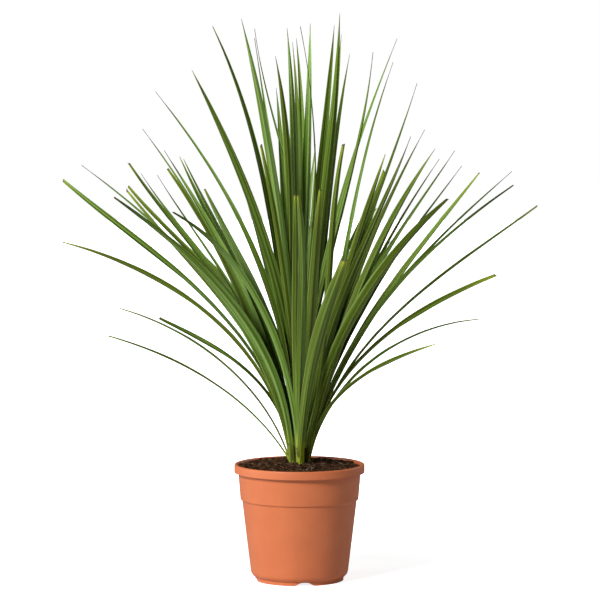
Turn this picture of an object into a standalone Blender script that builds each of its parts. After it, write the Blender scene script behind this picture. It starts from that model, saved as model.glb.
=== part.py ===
"""A potted mountain cabbage tree: five leafy stems in soil, in a moulded nursery pot.

Run with: blender --background --python part.py
Written in millimetres and scaled to metres where a mesh is made. +Z is up, and the origin is on the
ground under the middle of the pot. The front of the plant faces -Y.
"""
import math
import random

import bmesh
import bpy
from mathutils import Vector

MM = 0.001
UP = Vector((0.0, 0.0, 1.0))

# Gap left between two solids that touch on the real plant
GAP = 0.3

# Pot: a straight cone on a foot ring, with a stepped collar and a folded lip
POT_HEIGHT = 152.0
POT_SIDES = 36
WALL = 1.5
FOOT_RADIUS = 57.6
FOOT_WIDTH = 2.0
FOOT_HEIGHT = 5.0
FLOOR_BASE = 5.5
BEND_RADIUS = 62.6
BEND_HEIGHT = 9.5
WALL_BASE = 15.0
WALL_BASE_RADIUS = 63.5
COLLAR_BASE = 104.4
UNDER_COLLAR_RADIUS = 74.8
COLLAR_TOP = 106.4
COLLAR_RADIUS = 77.0
UNDER_LIP_RADIUS = 80.4
LIP_RADIUS = 85.0
LIP_DEPTH = 10.8
LIP_THICKNESS = 3.8
LIP_ROUND = 1.6
NOTCH_COUNT = 4
NOTCH_TURN = 6.7
NOTCH_WIDTH = 24.0
NOTCH_ROOF = 9.0
NOTCH_HEIGHT = 4.2
DRAIN_COUNT = 6
DRAIN_SIDES = 8
DRAIN_RADIUS = 4.5
DRAIN_RING = 38.0
MIDDLE_DRAIN_RADIUS = 6.0
POT_COLOUR = (0.64, 0.17, 0.075)
POT_ROUGHNESS = 0.5

# Soil: filled to just under the lip, mounded up to the stems and banked up a little at the back left, with
# a low lumpy relief
SOIL_EDGE = 145.0
SOIL_CROWN = 152.5
MOUND_RADIUS = 46.0
BANK_HEIGHT = 3.2
BANK_TURN = 115.0
LUMP_HEIGHT = 0.5
LUMP_START = 26.0
LUMP_FULL = 38.0
SOIL_RINGS = 4
SOIL_COLOUR = (0.035, 0.02, 0.012)
SOIL_ROUGHNESS = 0.95

# Stems: the short feet that the leaves grow from
STEM_RADIUS = 5.0
STEM_FOOT = 122.0
STEM_NECK = 166.0
STEM_TOP = 180.0
STEM_TOP_RADIUS = 2.6
STEM_SIDES = 8
STEM_PLACES = {
    "left": (-8.5, -1.0),
    "front": (0.0, -13.0),
    "right": (8.5, -3.0),
    "back": (-6.0, 17.5),
    "centre": (4.0, 8.0),
}

# Leaves: where they leave the stem, and the blade's section, steps and turn
ROOT_HEIGHT = 157.0
ROOT_RISE = 9.0
ROOT_REACH = 4.5
UPRIGHT_LEAN = 0.9
LEAN_POWER = 1.5
BOW = 0.35
BLADE_THICKNESS = 1.5
FOLD_AT_ROOT = 0.55
FOLD_AT_TIP = 0.22
ROOT_WIDTH = 0.5
SWELL = 1.2
TAPER_POWER = 4
FEWEST_STEPS = 4
MOST_STEPS = 8
STEP_BEND = 0.16
TURNS_BELOW = (-0.3, 0.45)
TURNS_ABOVE = (0.45, 0.75)
LEAF_COLOUR = (0.12, 0.26, 0.05)
LEAF_ROUGHNESS = 0.5

# The front leaves' points are as they line up for an eye this far in front of the pot and this high
EYE_DISTANCE = 4500.0
EYE_HEIGHT = 735.0

# One row for each leaf seen from the front, read by eye off the plant, in millimetres: across and up a
# little under half way along it, at about three quarters, and at the tip, then how far the tip is behind the
# pot's middle, the blade's width, how many degrees it turns flat to the front half way up and at its tip,
# and the share of a whole blade that is left where the tip was trimmed off
SEEN_LEAVES = {
    "left": [
        (-60, 216, -150, 280, -248, 319, -30, 7, 5, 15, 0.86),
        (-60, 243, -150, 319, -233, 355, 40, 7, 0, 15, 0.97),
        (-42, 243, -110, 303, -182, 342, 110, 8, 0, 40, 0.85),
        (-66, 290, -175, 386, -307, 441, -70, 10, 22, 52, 1.0),
        (-71, 308, -181, 420, -306, 521, 60, 10, 5, 52, 0.88),
        (-80, 335, -170, 446, -282, 541, -120, 9, 28, 20, 1.0),
        (-56, 312, -155, 430, -240, 499, -190, 15, 42, 15, 0.95),
        (-72, 322, -150, 421, -224, 508, -60, 10, 25, 20, 0.88),
        (-129, 414, -187, 473, -222, 513, 90, 11, 35, 20, 0.88),
        (-109, 394, -192, 501, -221, 543, -150, 11, 25, 10, 0.9),
        (-60, 325, -132, 430, -205, 530, 150, 10, 42, 18, 1.0),
        (-82, 370, -138, 457, -184, 528, 60, 8, 32, 20, 1.0),
        (-105, 429, -161, 528, -203, 588, -40, 10, 40, 22, 1.0),
        (-79, 392, -140, 503, -175, 560, 110, 12, 55, 30, 1.0),
        (-87, 392, -152, 508, -171, 536, -125, 10, 38, 20, 0.9),
        (-50, 335, -105, 450, -155, 552, 140, 10, 35, 25, 0.98),
        (-48, 337, -99, 446, -150, 549, 20, 10, 45, 28, 0.98),
        (-33, 352, -82, 476, -186, 636, -20, 11, 48, 30, 1.0),
    ],
    "right": [
        (65, 452, 95, 590, 121, 674, 20, 9, 38, 28, 1.0),
        (93, 476, 129, 577, 152, 647, 60, 8, 38, 30, 1.0),
        (48, 350, 83, 469, 111, 555, -85, 12, 45, 30, 0.98),
        (54, 345, 86, 456, 110, 533, 100, 13, 35, 25, 0.9),
        (80, 428, 103, 480, 144, 578, -130, 12, 38, 28, 1.0),
        (82, 414, 107, 474, 162, 587, 40, 11, 48, 32, 1.0),
        (89, 404, 127, 482, 176, 563, -190, 13, 38, 15, 1.0),
        (60, 320, 122, 453, 181, 549, 120, 9, 42, 0, 1.0),
        (62, 333, 134, 459, 201, 560, -60, 11, 50, 28, 1.0),
        (107, 394, 173, 490, 210, 540, 160, 9, 20, 0, 1.0),
        (90, 378, 150, 455, 192, 497, -170, 16, 32, 25, 0.94),
        (145, 417, 191, 477, 233, 531, 60, 11, 40, 28, 0.95),
        (68, 300, 166, 429, 275, 533, -110, 10, 26, 8, 1.0),
        (70, 306, 172, 430, 277, 515, 110, 9, 25, 5, 0.93),
        (150, 369, 256, 450, 308, 488, -40, 9, 5, 20, 0.9),
        (62, 267, 150, 345, 255, 398, 50, 10, 5, 45, 0.85),
        (62, 255, 140, 315, 233, 341, -30, 7, 28, 12, 0.98),
        (57, 245, 115, 284, 176, 308, -80, 9, 10, 45, 0.95),
    ],
    "front": [
        (-54, 358, -111, 438, -164, 480, -190, 14, -15, 5, 0.95),
        (-60, 381, -98, 458, -123, 510, -165, 14, 0, 10, 0.95),
        (-21, 400, -38, 508, -50, 567, -150, 8, 5, 10, 0.88),
        (-5, 290, -5, 420, -6, 503, -215, 9, 10, 25, 0.93),
        (2, 300, 4, 420, -2, 502, -280, 13, 0, 0, 0.93),
        (11, 290, 20, 420, 27, 509, -250, 13, 10, 10, 0.93),
        (8, 320, 17, 470, 21, 557, -115, 8, 10, 10, 1.0),
        (40, 420, 46, 495, 57, 568, -165, 9, 10, 15, 0.88),
        (14, 270, 36, 355, 59, 417, -300, 18, 15, 15, 0.88),
    ],
    "centre": [
        (-25, 370, -92, 565, -139, 664, -60, 13, 50, 50, 0.99),
        (-27, 400, -65, 593, -112, 720, 50, 9, 40, 40, 0.97),
        (-20, 420, -40, 562, -75, 730, -75, 13, 40, 40, 1.0),
        (-28, 580, -53, 685, -58, 717, 40, 7, 35, 28, 1.0),
        (-18, 430, -44, 612, -58, 705, 70, 7, 38, 30, 1.0),
        (-12, 400, -19, 600, -31, 682, -45, 14, 35, 35, 1.0),
        (-14, 400, -23, 560, -30, 641, 85, 13, 35, 30, 1.0),
        (-5, 400, -8, 590, -16, 718, -30, 13, 35, 30, 1.0),
        (-2, 400, -3, 610, -9, 700, 20, 10, 35, 30, 1.0),
        (3, 400, 4, 575, -4, 705, 60, 12, 25, 20, 1.0),
        (20, 560, 16, 620, 1, 720, -20, 7, 15, 0, 1.0),
        (6, 390, 11, 560, 14, 724, 30, 15, 0, 0, 1.0),
        (14, 370, 32, 574, 45, 722, 40, 13, 50, 40, 1.0),
        (18, 370, 41, 578, 52, 737, -50, 13, 35, 35, 1.0),
        (22, 380, 43, 580, 54, 710, 75, 11, 25, 25, 1.0),
        (29, 400, 46, 562, 65, 685, 95, 9, 15, 15, 1.0),
        (42, 432, 71, 548, 95, 687, -65, 8, 42, 36, 1.0),
        (53, 490, 83, 588, 126, 704, 50, 9, 40, 30, 1.0),
    ],
}

# Leaves hidden from the front, by rule, in fans that stand behind the leaves seen: how many, how far
# across the fan's first and last leaf lean for each millimetre up, how far its first and last leaf lean
# from upright, in degrees, and the shortest and longest blade
HIDDEN_FANS = {
    "back": [
        (7, -0.06, 0.08, 15.0, 46.0, 385.0, 440.0),
        (3, -0.05, 0.06, 52.0, 58.0, 290.0, 330.0),
        (3, -0.56, -0.48, 33.0, 48.0, 340.0, 385.0),
        (3, 0.44, 0.54, 33.0, 48.0, 340.0, 385.0),
        (2, -0.21, -0.19, 24.0, 38.0, 370.0, 400.0),
        (2, 0.32, 0.35, 24.0, 38.0, 370.0, 400.0),
    ],
    "centre": [(4, -0.04, 0.05, 4.0, 8.0, 340.0, 400.0)],
    "front": [(3, -0.05, 0.06, 13.0, 19.0, 330.0, 380.0)],
}
FACES_BACK = {"back": 1.0, "centre": 1.0, "front": -1.0}
HIDDEN_WIDTH = (10.0, 13.0)
HIDDEN_TURN = 25.0
HIDDEN_LEFT_OVER = {"back": (1.0, 1.0, 1.0, 0.87), "centre": (1.0,), "front": (1.0,)}
HIDDEN_SEED = 11
GOLDEN_STEP = 0.618034


def clear_scene():
    for item in list(bpy.data.objects):
        bpy.data.objects.remove(item, do_unlink=True)


def place(name, shape, colour=(0.5, 0.5, 0.5), roughness=0.5):
    """Link a finished bmesh as a named object with a material of its own."""
    bmesh.ops.recalc_face_normals(shape, faces=shape.faces)
    bmesh.ops.scale(shape, vec=(MM, MM, MM), verts=shape.verts)
    mesh = bpy.data.meshes.new(name)
    shape.to_mesh(mesh)
    shape.free()
    thing = bpy.data.objects.new(name, mesh)
    bpy.context.scene.collection.objects.link(thing)
    material = bpy.data.materials.new(name + "_finish")
    material.use_nodes = True
    shader = material.node_tree.nodes["Principled BSDF"]
    shader.inputs["Base Color"].default_value = (*colour, 1.0)
    shader.inputs["Roughness"].default_value = roughness
    mesh.materials.append(material)
    return thing


def shade_round(thing, angle):
    thing.data.shade_smooth()
    thing.data.set_sharp_from_angle(angle=math.radians(angle))


def around(radius, sides, x=0.0, y=0.0):
    """Points evenly round an upright axis at (x, y)."""
    turns = [math.tau * i / sides for i in range(sides)]
    return [(x + radius * math.cos(turn), y + radius * math.sin(turn)) for turn in turns]


def join_rings(shape, lower, upper):
    """A band of triangles between two rings of the same length."""
    for i in range(len(lower)):
        shape.faces.new((lower[i - 1], lower[i], upper[i]))
        shape.faces.new((lower[i - 1], upper[i], upper[i - 1]))


def apply_modifiers(thing):
    """Keep the evaluated mesh as the object's own."""
    view = bpy.context.evaluated_depsgraph_get()
    finished = bpy.data.meshes.new_from_object(thing.evaluated_get(view))
    old = thing.data
    thing.modifiers.clear()
    thing.data = finished
    bpy.data.meshes.remove(old)


def cut_away(thing, cutter):
    """Take a cutter object out of a piece and remove the cutter."""
    modifier = thing.modifiers.new("cut", "BOOLEAN")
    modifier.operation = "DIFFERENCE"
    modifier.solver = "EXACT"
    modifier.object = cutter
    apply_modifiers(thing)
    bpy.data.objects.remove(cutter, do_unlink=True)


def fuse_into(thing, others):
    """Join a collection of solids to a piece as one body, and remove the collection."""
    modifier = thing.modifiers.new("fuse", "BOOLEAN")
    modifier.operation = "UNION"
    modifier.solver = "EXACT"
    modifier.operand_type = "COLLECTION"
    modifier.collection = others
    apply_modifiers(thing)
    for item in list(others.objects):
        bpy.data.objects.remove(item, do_unlink=True)
    bpy.data.collections.remove(others)
    keep_outer_body(thing)


def connected_corners(first, unseen):
    """Every corner that edges join to the first one, taken out of the unseen ones."""
    island = [first]
    unseen.discard(first)
    for corner in island:
        for edge in corner.link_edges:
            other = edge.other_vert(corner)
            if other in unseen:
                unseen.discard(other)
                island.append(other)
    return island


def keep_outer_body(thing):
    """Drop the loose scraps and fill the sealed hollows that fusing crossed blades leaves."""
    body = bmesh.new()
    body.from_mesh(thing.data)
    unseen = set(body.verts)
    islands = [connected_corners(corner, unseen) for corner in body.verts if corner in unseen]
    islands.sort(key=len)
    spare = [corner for island in islands[:-1] for corner in island]
    bmesh.ops.delete(body, geom=spare, context="VERTS")
    body.to_mesh(thing.data)
    body.free()


# Pot


def wall_radius(height):
    """Outer radius of the pot's wall, below the collar's step and above it."""
    if height <= COLLAR_BASE:
        share = (height - WALL_BASE) / (COLLAR_BASE - WALL_BASE)
        return WALL_BASE_RADIUS + share * (UNDER_COLLAR_RADIUS - WALL_BASE_RADIUS)
    share = (height - COLLAR_TOP) / (POT_HEIGHT - LIP_DEPTH - COLLAR_TOP)
    return COLLAR_RADIUS + share * (UNDER_LIP_RADIUS - COLLAR_RADIUS)


def inner_wall(clearance):
    """The inside of the wall, top to bottom, from the collar to the floor, moved in by a clearance."""
    return [
        (wall_radius(COLLAR_TOP) - WALL - clearance, COLLAR_TOP + WALL / 3),
        (wall_radius(COLLAR_BASE) - WALL - clearance, COLLAR_BASE + WALL / 3),
        (BEND_RADIUS - WALL - clearance, BEND_HEIGHT + WALL + clearance),
        (FOOT_RADIUS - clearance, FLOOR_BASE + WALL + clearance),
    ]


def pot_outline():
    """The wall's section: up the outside, over the folded lip, down the inside, in along the floor."""
    lip_base = POT_HEIGHT - LIP_DEPTH
    fold_roof = POT_HEIGHT - LIP_THICKNESS
    outside = [
        (FOOT_RADIUS, 0.0),
        (FOOT_RADIUS, FOOT_HEIGHT),
        (BEND_RADIUS - WALL, FOOT_HEIGHT + WALL),
        (BEND_RADIUS, BEND_HEIGHT),
        (wall_radius(WALL_BASE), WALL_BASE),
        (wall_radius(COLLAR_BASE), COLLAR_BASE),
        (wall_radius(COLLAR_TOP), COLLAR_TOP),
        (wall_radius(lip_base), lip_base),
    ]
    lip = [
        (wall_radius(fold_roof), fold_roof),
        (LIP_RADIUS - WALL, fold_roof),
        (LIP_RADIUS - WALL, lip_base),
        (LIP_RADIUS, lip_base),
        (LIP_RADIUS, POT_HEIGHT - LIP_ROUND),
        (LIP_RADIUS - LIP_ROUND, POT_HEIGHT),
        (UNDER_LIP_RADIUS + LIP_ROUND, POT_HEIGHT),
        (UNDER_LIP_RADIUS, POT_HEIGHT - LIP_ROUND),
        (wall_radius(lip_base) - WALL, lip_base),
    ]
    floor = [
        (MIDDLE_DRAIN_RADIUS, FLOOR_BASE + WALL),
        (MIDDLE_DRAIN_RADIUS, FLOOR_BASE),
        (FOOT_RADIUS - FOOT_WIDTH, FLOOR_BASE),
        (FOOT_RADIUS - FOOT_WIDTH, 0.0),
    ]
    return outside + lip + inner_wall(0.0) + floor


def notch_cutter():
    """Wedges across the foot ring that leave its drainage notches."""
    wedges = bmesh.new()
    section = [(-NOTCH_WIDTH / 2, -WALL), (NOTCH_WIDTH / 2, -WALL), (NOTCH_ROOF / 2, NOTCH_HEIGHT),
               (-NOTCH_ROOF / 2, NOTCH_HEIGHT)]
    for index in range(NOTCH_COUNT):
        turn = math.radians(NOTCH_TURN - 90.0 + 360.0 / NOTCH_COUNT * index)
        out = Vector((math.cos(turn), math.sin(turn), 0.0))
        along = UP.cross(out)
        reaches = (FOOT_RADIUS - 3 * FOOT_WIDTH, FOOT_RADIUS + 3 * FOOT_WIDTH)
        near, far = [[wedges.verts.new(out * reach + along * across + UP * up) for across, up in section]
                     for reach in reaches]
        join_rings(wedges, near, far)
        wedges.faces.new(near)
        wedges.faces.new(far)
    return place("notch_cutter", wedges)


def pin_cutter(places, radius, low, high, sides):
    """Upright round pins that leave plain holes."""
    pins = bmesh.new()
    for x, y in places:
        lower, upper = [[pins.verts.new((px, py, height)) for px, py in around(radius, sides, x, y)]
                        for height in (low, high)]
        join_rings(pins, lower, upper)
        pins.faces.new(lower)
        pins.faces.new(upper)
    return place("pin_cutter", pins)


def make_pot():
    ring = bmesh.new()
    corners = [ring.verts.new((radius, 0.0, height)) for radius, height in pot_outline()]
    edges = [ring.edges.new((corners[i - 1], corners[i])) for i in range(len(corners))]
    bmesh.ops.spin(ring, geom=corners + edges, cent=(0, 0, 0), axis=UP, angle=math.tau, steps=POT_SIDES,
                   use_merge=True, use_duplicate=False)
    pot = place("pot", ring, POT_COLOUR, POT_ROUGHNESS)
    cut_away(pot, notch_cutter())
    drains = around(DRAIN_RING, DRAIN_COUNT)
    cut_away(pot, pin_cutter(drains, DRAIN_RADIUS, 0.0, 2 * FLOOR_BASE, DRAIN_SIDES))
    shade_round(pot, 32.0)


# Soil


def soil_height(x, y):
    """Top of the soil: mounded at the stems, banked up on one side, lumpy in between."""
    radius = math.hypot(x, y)
    turn = math.atan2(y, x)
    mound = (SOIL_CROWN - SOIL_EDGE) / (1.0 + (radius / MOUND_RADIUS) ** 4)
    facing = 0.5 + 0.5 * math.cos(turn - math.radians(BANK_TURN))
    bank = BANK_HEIGHT * facing ** 2 * min(1.0, radius / MOUND_RADIUS)
    lumps = math.sin(3 * turn + radius / 9.0) + math.sin(5 * turn - radius / 5.0)
    share = min(1.0, max(0.0, (radius - LUMP_START) / (LUMP_FULL - LUMP_START)))
    return SOIL_EDGE + mound + bank + LUMP_HEIGHT * lumps * share


def make_soil():
    soil = bmesh.new()
    edge_radius = wall_radius(SOIL_EDGE) - WALL - GAP
    rings = []
    for step in range(1, SOIL_RINGS + 1):
        places = around(edge_radius * step / SOIL_RINGS, POT_SIDES)
        rings.append([soil.verts.new((x, y, soil_height(x, y))) for x, y in places])
    for radius, height in inner_wall(GAP):
        rings.append([soil.verts.new((x, y, height)) for x, y in around(radius, POT_SIDES)])
    for upper, lower in zip(rings, rings[1:]):
        join_rings(soil, upper, lower)
    peak = soil.verts.new((0.0, 0.0, soil_height(0.0, 0.0)))
    for i in range(POT_SIDES):
        soil.faces.new((peak, rings[0][i - 1], rings[0][i]))
    soil.faces.new(rings[-1])
    soil_object = place("soil", soil, SOIL_COLOUR, SOIL_ROUGHNESS)
    holes = pin_cutter(STEM_PLACES.values(), STEM_RADIUS + GAP, STEM_FOOT - GAP, STEM_NECK, 2 * STEM_SIDES)
    cut_away(soil_object, holes)
    shade_round(soil_object, 30.0)


# Leaves


def seen_point(across, up, depth):
    """The point at a given depth that lines up with (across, up) for the eye in front."""
    scale = (EYE_DISTANCE + depth) / EYE_DISTANCE
    return Vector((across * scale, depth, EYE_HEIGHT + (up - EYE_HEIGHT) * scale))


def leaf_root(stem, tip):
    """Where a leaf leaves its stem: on the side it leans to, and the lower the more it leans."""
    x, y = STEM_PLACES[stem]
    out = Vector((tip.x - x, tip.y - y, 0.0))
    lean = math.atan2(out.length, tip.z - ROOT_HEIGHT)
    rise = ROOT_RISE * max(0.0, 1.0 - lean / UPRIGHT_LEAN)
    reach = ROOT_REACH * min(1.0, 0.5 + lean)
    return Vector((x, y, ROOT_HEIGHT + rise)) + out.normalized() * reach


def seen_midrib(stem, row):
    """Four points along the midrib of a leaf seen from the front. It rises first and then leans out."""
    near_x, near_z, far_x, far_z, tip_x, tip_z, depth = row[:7]
    tip = seen_point(tip_x, tip_z, depth)
    root = leaf_root(stem, tip)
    near_run = math.dist((root.x, root.z), (near_x, near_z))
    far_run = near_run + math.dist((near_x, near_z), (far_x, far_z))
    whole_run = far_run + math.dist((far_x, far_z), (tip_x, tip_z))
    near_depth = root.y + (depth - root.y) * (near_run / whole_run) ** LEAN_POWER
    far_depth = root.y + (depth - root.y) * (far_run / whole_run) ** LEAN_POWER
    return [root, seen_point(near_x, near_z, near_depth), seen_point(far_x, far_z, far_depth), tip]


def ruled_midrib(stem, turn, lean, length):
    """Four points along the midrib of a leaf that leans out in the direction of turn."""
    x, y = STEM_PLACES[stem]
    out = Vector((math.cos(turn), math.sin(turn), 0.0))
    tip = Vector((x, y, ROOT_HEIGHT)) + out * length * math.sin(lean) + UP * length * math.cos(lean)
    root = leaf_root(stem, tip)
    points = [root]
    for share in (1 / 3, 2 / 3):
        level = root.lerp(tip, share ** LEAN_POWER)
        height = root.lerp(tip, share).z + BOW * lean * length * share * (1 - share)
        points.append(Vector((level.x, level.y, height)))
    points.append(tip)
    return points


def curve_through(points, count):
    """Even steps along the smooth curve through four points."""
    knots = [0.0]
    for start, end in zip(points, points[1:]):
        knots.append(knots[-1] + (end - start).length)
    steps = []
    for step in range(count + 1):
        run = knots[-1] * step / count
        spot = Vector((0.0, 0.0, 0.0))
        for i, point in enumerate(points):
            others = [knot for j, knot in enumerate(knots) if j != i]
            weight = math.prod((run - knot) / (knots[i] - knot) for knot in others)
            spot += point * weight
        steps.append(spot)
    return steps


def blade_steps(points):
    """The straighter a blade, the fewer steps along it."""
    bend = (points[1] - points[0]).angle(points[3] - points[2])
    return min(MOST_STEPS, FEWEST_STEPS + round(bend / STEP_BEND))


def blade_width(share):
    """Width of a blade as a share of its widest, from the narrow root to the drawn-out tip."""
    swell = min(1.0, ROOT_WIDTH + SWELL * share)
    return swell * max(0.0, 1.0 - share ** TAPER_POWER)


def ease(value, start, end):
    """0 before start, 1 after end, and smooth between them."""
    part = min(1.0, max(0.0, (value - start) / (end - start)))
    return part * part * (3.0 - 2.0 * part)


def blade_frames(steps, turn, tip_turn):
    """Width direction and upper-face direction at each step, turning the blade flat to the front."""
    lean = Vector((steps[-1].x - steps[0].x, steps[-1].y - steps[0].y, 0.0)).normalized()
    side = lean.cross(UP)
    if side.y * lean.y > 0.0:
        side = -side
    frames = []
    for i in range(len(steps)):
        ahead = (steps[min(i + 1, len(steps) - 1)] - steps[max(i - 1, 0)]).normalized()
        level = (side - ahead * side.dot(ahead)).normalized()
        upper = level.cross(ahead)
        if upper.dot(lean) > 0.0:
            upper = -upper
        share = i / (len(steps) - 1)
        degrees = turn * ease(share, *TURNS_BELOW) + (tip_turn - turn) * ease(share, *TURNS_ABOVE)
        angle = math.radians(degrees)
        face = upper * math.cos(angle) + level * math.sin(angle)
        frames.append((ahead.cross(face).normalized(), face))
    return frames


def make_blade(name, points, width, turn, tip_turn, left_over):
    """A keeled blade: a shallow gutter above, a keel below, split alike on both faces."""
    blade = bmesh.new()
    steps = curve_through(points, blade_steps(points))
    pointed = left_over == 1.0
    rings = []
    for i, (spot, (across, face)) in enumerate(zip(steps, blade_frames(steps, turn, tip_turn))):
        share = i / (len(steps) - 1)
        if pointed and share == 1.0:
            rings.append([blade.verts.new(spot)] * 4)
            continue
        half = width / 2 * blade_width(share * left_over)
        edge = face * half * (FOLD_AT_ROOT + (FOLD_AT_TIP - FOLD_AT_ROOT) * share)
        thickness = BLADE_THICKNESS * (0.6 + 0.4 * 2 * half / width)
        rings.append([
            blade.verts.new(spot - across * half + edge),
            blade.verts.new(spot + face * thickness / 3),
            blade.verts.new(spot + across * half + edge),
            blade.verts.new(spot - face * thickness * 2 / 3),
        ])
    for lower, upper in zip(rings, rings[1:]):
        for rim, ridge in ((0, 1), (2, 1), (2, 3), (0, 3)):
            blade.faces.new((lower[rim], lower[ridge], upper[ridge]))
            if upper[rim] is not upper[ridge]:
                blade.faces.new((lower[rim], upper[ridge], upper[rim]))
    blade.faces.new(rings[0])
    if not pointed:
        blade.faces.new(rings[-1])
    return place(name, blade)


def hidden_leaves(stem):
    """Midrib, width, both turns and share left over of each leaf that is placed by rule."""
    draw = random.Random(HIDDEN_SEED + len(stem))
    leaves = []
    for count, first, last, inner, outer, shortest, longest in HIDDEN_FANS.get(stem, []):
        for index in range(count):
            across = first + (last - first) * ((index * GOLDEN_STEP + 0.3) % 1.0)
            lean = math.radians(inner + (outer - inner) * (index + 0.5) / count)
            turn = FACES_BACK[stem] * math.acos(across / math.tan(lean))
            midrib = ruled_midrib(stem, turn, lean, draw.uniform(shortest, longest))
            width = draw.uniform(*HIDDEN_WIDTH)
            twist = draw.uniform(-HIDDEN_TURN, HIDDEN_TURN)
            leaves.append((midrib, width, twist, twist, draw.choice(HIDDEN_LEFT_OVER[stem])))
    return leaves


def make_stem(stem):
    """One leafy stem: a short foot in its hole in the soil, with its leaves fused to it."""
    outline = [
        (STEM_RADIUS, STEM_FOOT),
        (STEM_RADIUS, STEM_NECK),
        (STEM_TOP_RADIUS, STEM_TOP),
    ]
    foot = bmesh.new()
    rings = [[foot.verts.new((x, y, height)) for x, y in around(radius, STEM_SIDES, *STEM_PLACES[stem])]
             for radius, height in outline]
    for lower, upper in zip(rings, rings[1:]):
        join_rings(foot, lower, upper)
    foot.faces.new(rings[0])
    foot.faces.new(rings[-1])
    stem_object = place("leafy_stem_" + stem, foot, LEAF_COLOUR, LEAF_ROUGHNESS)

    leaves = [(seen_midrib(stem, row), *row[7:]) for row in SEEN_LEAVES.get(stem, [])]
    leaves += hidden_leaves(stem)
    blades = bpy.data.collections.new("blades")
    for index, leaf in enumerate(leaves):
        blade = make_blade(f"blade_{index}", *leaf)
        bpy.context.scene.collection.objects.unlink(blade)
        blades.objects.link(blade)
    fuse_into(stem_object, blades)
    shade_round(stem_object, 40.0)


def main():
    clear_scene()
    make_pot()
    make_soil()
    for stem in STEM_PLACES:
        make_stem(stem)


main()
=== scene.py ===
# %% [markdown]
# # A potted mountain cabbage tree
# A mountain cabbage tree is sold young, as a tuft of long, narrow, sword-like leaves on a few short shoots in
# a plastic nursery pot. The plain solids of the pot, the soil and the five leafy stems are already packed in
# one shared frame. This lesson loads them, and then makes a finer piece for each, in the same place, with a
# material of its own.

# %% Load the imported solids
import math
import random

import bmesh
import bpy
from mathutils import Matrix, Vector, noise


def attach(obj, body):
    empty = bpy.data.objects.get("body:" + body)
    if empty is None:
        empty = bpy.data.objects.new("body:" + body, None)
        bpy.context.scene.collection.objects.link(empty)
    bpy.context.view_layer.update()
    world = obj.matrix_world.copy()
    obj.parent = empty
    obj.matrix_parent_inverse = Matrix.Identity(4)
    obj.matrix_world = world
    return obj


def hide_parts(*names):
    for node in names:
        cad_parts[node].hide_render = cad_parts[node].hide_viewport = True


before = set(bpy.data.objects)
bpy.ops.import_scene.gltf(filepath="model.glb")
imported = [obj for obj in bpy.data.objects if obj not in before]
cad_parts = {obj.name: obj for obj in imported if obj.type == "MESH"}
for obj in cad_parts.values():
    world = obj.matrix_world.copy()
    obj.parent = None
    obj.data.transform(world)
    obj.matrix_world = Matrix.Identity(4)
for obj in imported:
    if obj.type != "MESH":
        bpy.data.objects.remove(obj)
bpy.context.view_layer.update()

MM = 0.001
UP = Vector((0.0, 0.0, 1.0))
print("solids:", sorted(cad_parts))

# %% [markdown]
# ## Writing node trees as formulas
# Geometry Nodes and shader nodes are usually joined by hand in the editor. In a script, a long formula becomes
# a long list of Math nodes. A small class makes that readable: a Wire holds one output socket, and adding or
# multiplying wires places the Math node for it. Other helpers place any node, start a tree with named inputs,
# and run a tree on an object, keeping the result as a plain mesh.


# %% Wires and nodes
class Wire:
    """One output socket. Arithmetic on wires places the nodes for it."""

    def __init__(self, socket):
        self.socket = socket


def arithmetic(operation, wire_first):
    """The method for a sign such as + that has the wire before it, or after it."""
    def place(wire, other):
        return combine(operation, wire, other) if wire_first else combine(operation, other, wire)
    return place


SIGNS = {"add": "ADD", "sub": "SUBTRACT", "mul": "MULTIPLY", "truediv": "DIVIDE", "pow": "POWER"}
for sign, operation in SIGNS.items():
    setattr(Wire, "__" + sign + "__", arithmetic(operation, True))
    setattr(Wire, "__r" + sign + "__", arithmetic(operation, False))


def plug(slot, value):
    """Fill an input socket with a wire or with a plain value."""
    if isinstance(value, Wire):
        slot.id_data.links.new(value.socket, slot)
    else:
        slot.default_value = value


def place_node(tree, kind, slots=(), **settings):
    """Add a node, set it up, and fill its input sockets, given by name or number."""
    node = tree.nodes.new(kind)
    for name, value in settings.items():
        setattr(node, name, value)
    for key, value in dict(slots).items():
        plug(node.inputs[key], value)
    return node


def wire_from(tree, kind, slots=(), out=0, **settings):
    """A wire from one output, given by name or number, of a node that is placed for it."""
    return Wire(place_node(tree, kind, slots, **settings).outputs[out])


print("signs for wires:", ", ".join(SIGNS))


# %% Maths on wires
def tree_of(*values):
    return next(value.socket.id_data for value in values if isinstance(value, Wire))


def maths(operation, *values):
    return wire_from(tree_of(*values), "ShaderNodeMath", enumerate(values), operation=operation)


def vectors(operation, *values):
    return wire_from(tree_of(*values), "ShaderNodeVectorMath", enumerate(values), operation=operation)


def length_of(vector):
    return wire_from(tree_of(vector), "ShaderNodeVectorMath", {0: vector}, "Value", operation="LENGTH")


def joined(*parts):
    """A vector made of up to three numbers."""
    return wire_from(tree_of(*parts), "ShaderNodeCombineXYZ", enumerate(parts))


def split(vector):
    """The three numbers of a vector."""
    return [Wire(part) for part in place_node(tree_of(vector), "ShaderNodeSeparateXYZ", {0: vector}).outputs]


def is_vector(value):
    return isinstance(value, Wire) and value.socket.type == "VECTOR"


def combine(operation, first, second):
    """A Math node for numbers, and a Vector Math node for vectors, which numbers scale."""
    if not (is_vector(first) or is_vector(second)):
        return maths(operation, first, second)
    if operation == "MULTIPLY" and not (is_vector(first) and is_vector(second)):
        vector, number = (first, second) if is_vector(first) else (second, first)
        slots = {0: vector, "Scale": number}
        return wire_from(tree_of(vector), "ShaderNodeVectorMath", slots, operation="SCALE")
    return vectors(operation, first, second)


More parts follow.
